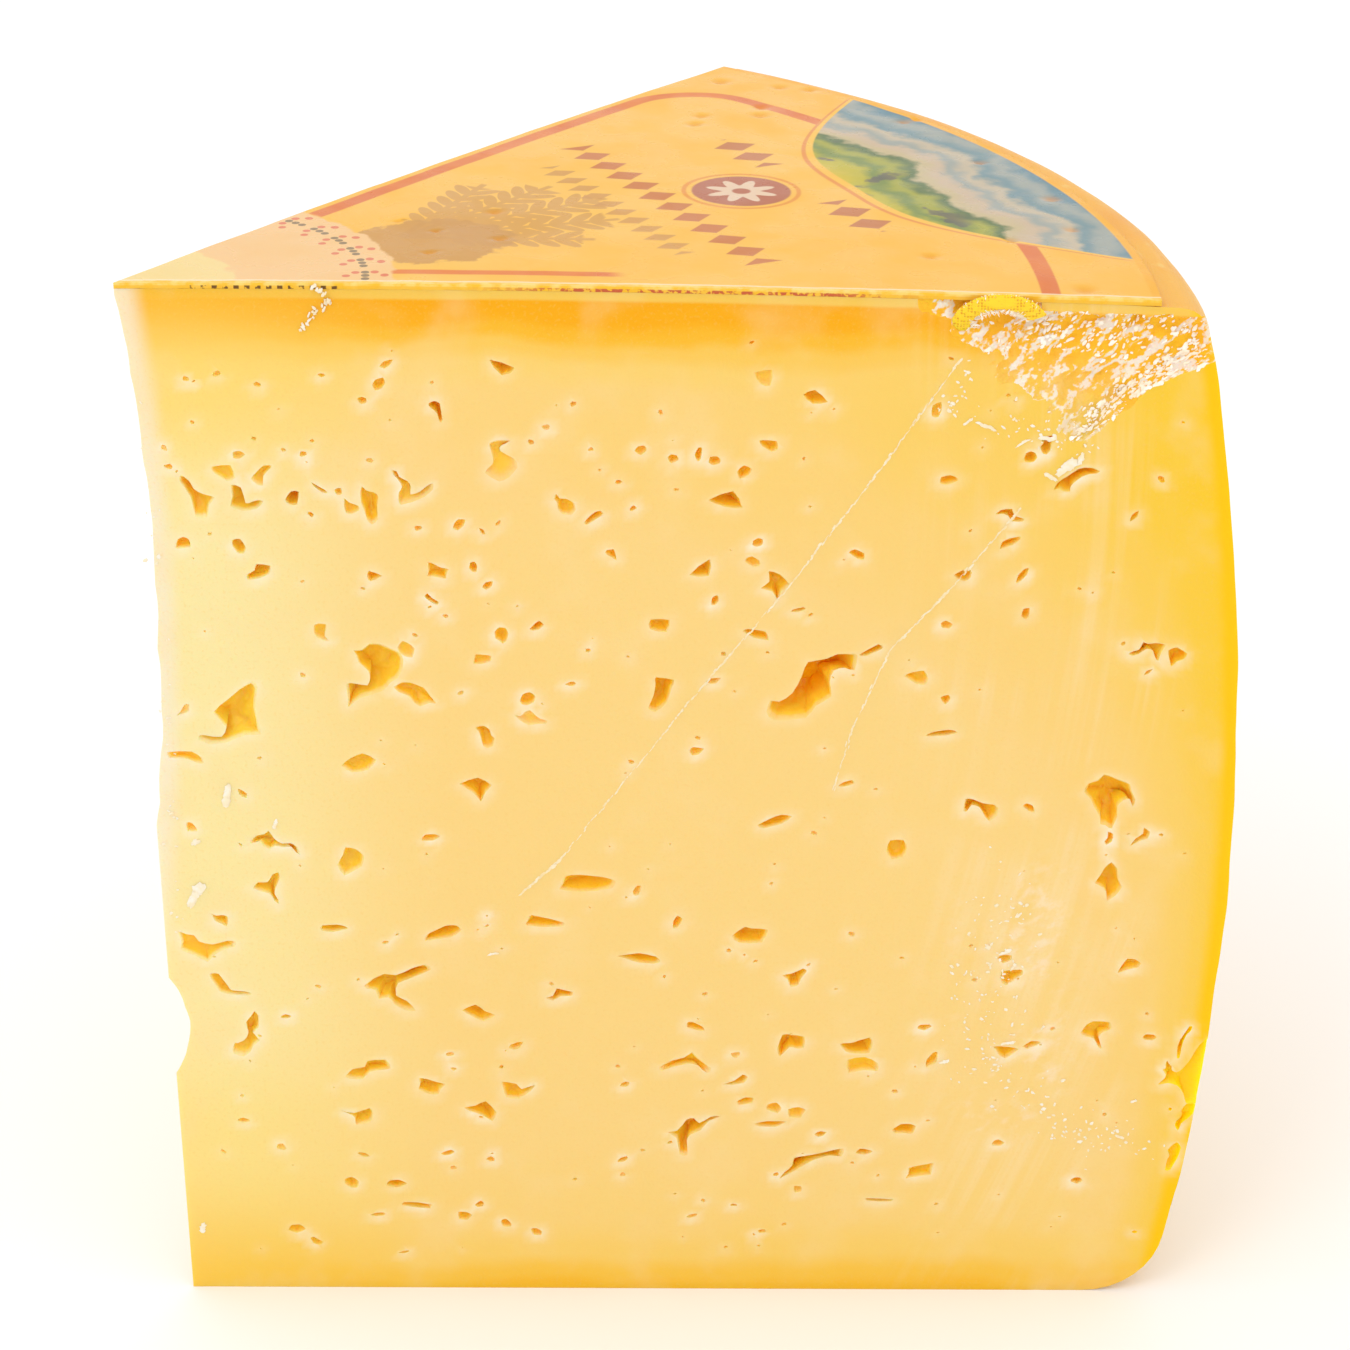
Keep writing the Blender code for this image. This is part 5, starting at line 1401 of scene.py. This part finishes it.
def film_finish():
    """Clear gloss over print: fields of colour, a stripe, a stitched band and simple shapes, with a painted
    highlight along the cut edge and painted shade in the dimples.
    """
    made, tree, shader = new_finish("printed_film", 0.3, 0.12)
    place, radius, _, below_top = use_group(tree, PLACE)[:4]
    x, y = set_out(tree, place, (0, 0), 0)
    turn = maths(tree, "ARCTAN2", y, x)
    cloud = noise_at(tree, place, 0.08, 3)
    colour = mixed(tree, fade(tree, cloud, 0.3, 0.7), ink(252, 191, 68), ink(252, 196, 84))
    near_rim = times(tree, fade(tree, radius, 96, 122), 0.5)
    colour = mixed(tree, near_rim, colour, ink(252, 187, 62))

    tan, brown, red = ink(208, 150, 70), ink(208, 146, 70), ink(196, 98, 54)
    colour = mixed(tree, both(tree, sheaf(tree, place), 0.75), colour, tan)
    colour = mixed(tree, both(tree, mound(tree, place), 0.9), colour, tan)
    for row, shade in zip(LOZENGE_ROWS, (brown, red, ink(188, 98, 66))):
        colour = mixed(tree, both(tree, lozenge_row(tree, place, *row), 0.8), colour, shade)
    disc, petals, ring = rosette(tree, place)
    colour = mixed(tree, disc, colour, ink(188, 110, 76))
    colour = mixed(tree, petals, colour, ink(236, 204, 172))
    colour = mixed(tree, both(tree, ring, 0.8), colour, ink(233, 143, 44))

    stripe = border_stripe(tree, place, radius)
    worn = fade(tree, noise_at(tree, place, 0.15, 3), 0.35, 0.65)
    rose = mixed(tree, worn, ink(233, 127, 60), ink(225, 110, 46))
    stripe = both(tree, stripe, fade(tree, radius, CREAM_END - 0.5, CREAM_END + 0.5))
    front_line = both(tree, between(tree, y, 3.6, 5.2, 0.2), between(tree, radius, 31, 60, 1.5))
    colour = mixed(tree, both(tree, either(tree, stripe, front_line), 0.9), colour, rose)

    middle = (PANEL_TURN[0] + PANEL_TURN[1]) / 2
    half = (PANEL_TURN[1] - PANEL_TURN[0]) / 2
    off = maths(tree, "DIVIDE", minus(tree, turn, middle), half)
    curve = times(tree, maths(tree, "POWER", maths(tree, "ABSOLUTE", off), 3.0), PANEL[1] - PANEL[0])
    sunk = minus(tree, radius, plus(tree, curve, PANEL[0]))
    inside = both(tree, fade(tree, sunk, -0.2, 0.2), fade(tree, radius, PANEL[1] + 0.2, PANEL[1] - 0.2))
    inside = both(tree, inside, fade(tree, maths(tree, "ABSOLUTE", off), 1.01, 0.99))
    edge = both(tree, between(tree, sunk, -1.9, -1.2, 0.15), fade(tree, maths(tree, "ABSOLUTE", off), 1.03, 1.0))
    clear = both(tree, between(tree, sunk, -1.2, 0, 0.15), fade(tree, maths(tree, "ABSOLUTE", off), 1.03, 1.0))
    colour = mixed(tree, clear, colour, ink(252, 196, 74))
    colour = mixed(tree, edge, colour, ink(236, 152, 68))
    colour = mixed(tree, inside, colour, panel_print(tree, place, radius, turn))
    shade = both(tree, fade(tree, noise_at(tree, place, 0.22, 3), 0.56, 0.64), fade(tree, radius, 109, 105))
    colour = mixed(tree, both(tree, both(tree, shade, inside), 0.75), colour, ink(96, 86, 94))

    wavy = times(tree, minus(tree, noise_at(tree, place, 0.4, 3), 0.5), 2)
    end = plus(tree, radius, wavy)
    cream = fade(tree, end, CREAM_END + 0.3, CREAM_END - 0.3)
    colour = mixed(tree, cream, colour, ink(248, 201, 138))
    colour = mixed(tree, fade(tree, plus(tree, end, wavy), 14.5, 13.5), colour, ink(248, 218, 146))
    stitched_red, stitched_dark = stitch_band(tree, radius, turn)
    colour = mixed(tree, both(tree, stitched_red, 0.75), colour, ink(226, 96, 70))
    colour = mixed(tree, both(tree, stitched_dark, 0.75), colour, ink(104, 92, 70))

    outside = fade(tree, radius, LABEL_RADIUS - 2.2, LABEL_RADIUS - 1.8)
    colour = mixed(tree, outside, colour, ink(250, 181, 48))
    fray = maths(tree, "MULTIPLY_ADD", wavy, 0.25, y)
    mottle = fade(tree, noise_at(tree, place, 0.5, 4), 0.4, 0.6)
    band = mixed(tree, mottle, ink(254, 218, 118), ink(254, 198, 56))
    colour = mixed(tree, fade(tree, fray, 0.9, 0.7), colour, band)
    # A pale line just in from the cut edge: painted highlight along the film's edge, with some edge wear.
    colour = mixed(tree, both(tree, between(tree, fray, 0.8, 1.2, 0.15), 0.8), colour, ink(255, 236, 196))
    broken = noise_at(tree, place, 1.5, 3)
    dotted = both(tree, between(tree, radius, 48, 92, 8), fade(tree, broken, 0.44, 0.54))
    pitch = maths(tree, "FRACT", maths(tree, "DIVIDE", x, 1.3))
    dash = both(tree, fade(tree, pitch, 0.55, 0.45), fade(tree, broken, 0.4, 0.5))
    dashes = both(tree, between(tree, x, 9, 27, 0.5), dash)
    low = both(tree, fade(tree, y, 0.15, 0.08), fade(tree, below_top, -0.5, -0.36))
    colour = mixed(tree, both(tree, low, 0.8), colour, ink(251, 190, 50))
    colour = mixed(tree, both(tree, dotted, low), colour, ink(206, 100, 60))
    colour = mixed(tree, both(tree, dashes, low), colour, ink(120, 84, 40))
    # Darker orange in the film's dimples: painted shade in the dents.
    dimple = add_node(tree, "ShaderNodeAttribute", attribute_name="dimple").outputs["Fac"]
    colour = mixed(tree, both(tree, dimple, 0.55), colour, ink(240, 152, 20))
    feed(tree, [shader.inputs["Base Color"]], colour)

    smear = fade(tree, noise_at(tree, place, 0.12, 4), 0.35, 0.7, 0.22, 0.42)
    feed(tree, [shader.inputs["Roughness"]], smear)
    relief(tree, shader, noise_at(tree, place, 0.7, 3, stretch=(1, 2.5, 1), turn=(0, 0, PRINT_LEAN)), 0.05)
    shader.inputs["Coat Weight"].default_value = 0.04
    shader.inputs["Coat Roughness"].default_value = 0.18
    soak_light(shader, 0.1, 1)
    return made


film = as_object("printed_film", printed_film())
film.data.materials.append(film_finish())
film.data.transform(TO_FRAME)
film.data.polygons.foreach_set("use_smooth", [True] * len(film.data.polygons))
film.data.set_sharp_from_angle(angle=math.radians(40))
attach(film, "root")
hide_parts("top_film")


# Studio: the camera stands where the wedge's outline in the photo puts it. Its
# spot is given in millimetres from the wheel's axis, its turns in radians.
CAMERA_SPOT = Vector((74.66, -395.92, 281.44))
CAMERA_HEADING = 0.0208
CAMERA_DIP = 0.4451
CAMERA_ROLL = -0.0081
camera_data = bpy.data.cameras.new("camera")
camera = bpy.data.objects.new("camera", camera_data)
bpy.context.scene.collection.objects.link(camera)
camera_data.lens = 93.73
camera_data.sensor_width = 36
heading = Matrix.Rotation(CAMERA_HEADING, 4, "Z")
dip = Matrix.Rotation(math.pi / 2 - CAMERA_DIP, 4, "X")
turn = heading @ dip @ Matrix.Rotation(CAMERA_ROLL, 4, "Z")
camera.matrix_world = Matrix.Translation(TO_FRAME @ CAMERA_SPOT) @ turn
camera_data.clip_start = 0.01
bpy.context.scene.camera = camera

floor_data = bpy.data.meshes.new("floor")
bm = bmesh.new()
bmesh.ops.create_grid(bm, x_segments=1, y_segments=1, size=3)
bm.to_mesh(floor_data)
bm.free()
floor = bpy.data.objects.new("floor", floor_data)
bpy.context.scene.collection.objects.link(floor)
floor_finish = bpy.data.materials.new("floor")
floor_finish.use_nodes = True
floor_finish.node_tree.nodes["Principled BSDF"].inputs["Base Color"].default_value = (0.96, 0.96, 0.96, 1)
floor_finish.node_tree.nodes["Principled BSDF"].inputs["Roughness"].default_value = 0.9
floor_data.materials.append(floor_finish)
world = bpy.data.worlds.new("studio")
world.use_nodes = True
world.node_tree.nodes["Background"].inputs["Color"].default_value = (1, 1, 1, 1)
world.node_tree.nodes["Background"].inputs["Strength"].default_value = 1.09


def add_light(name, place, size, power):
    """A large soft lamp that points at the wedge."""
    data = bpy.data.lights.new(name, "AREA")
    data.size = size
    data.energy = power
    made = bpy.data.objects.new(name, data)
    made.location = place
    made.rotation_euler = (Vector((0, 0, 0.07)) - Vector(place)).to_track_quat("-Z", "Y").to_euler()
    bpy.context.scene.collection.objects.link(made)


add_light("key", (-0.5, -0.8, 1.1), 0.5, 2)
bpy.context.scene.world = world
bpy.context.scene.view_settings.view_transform = "Standard"
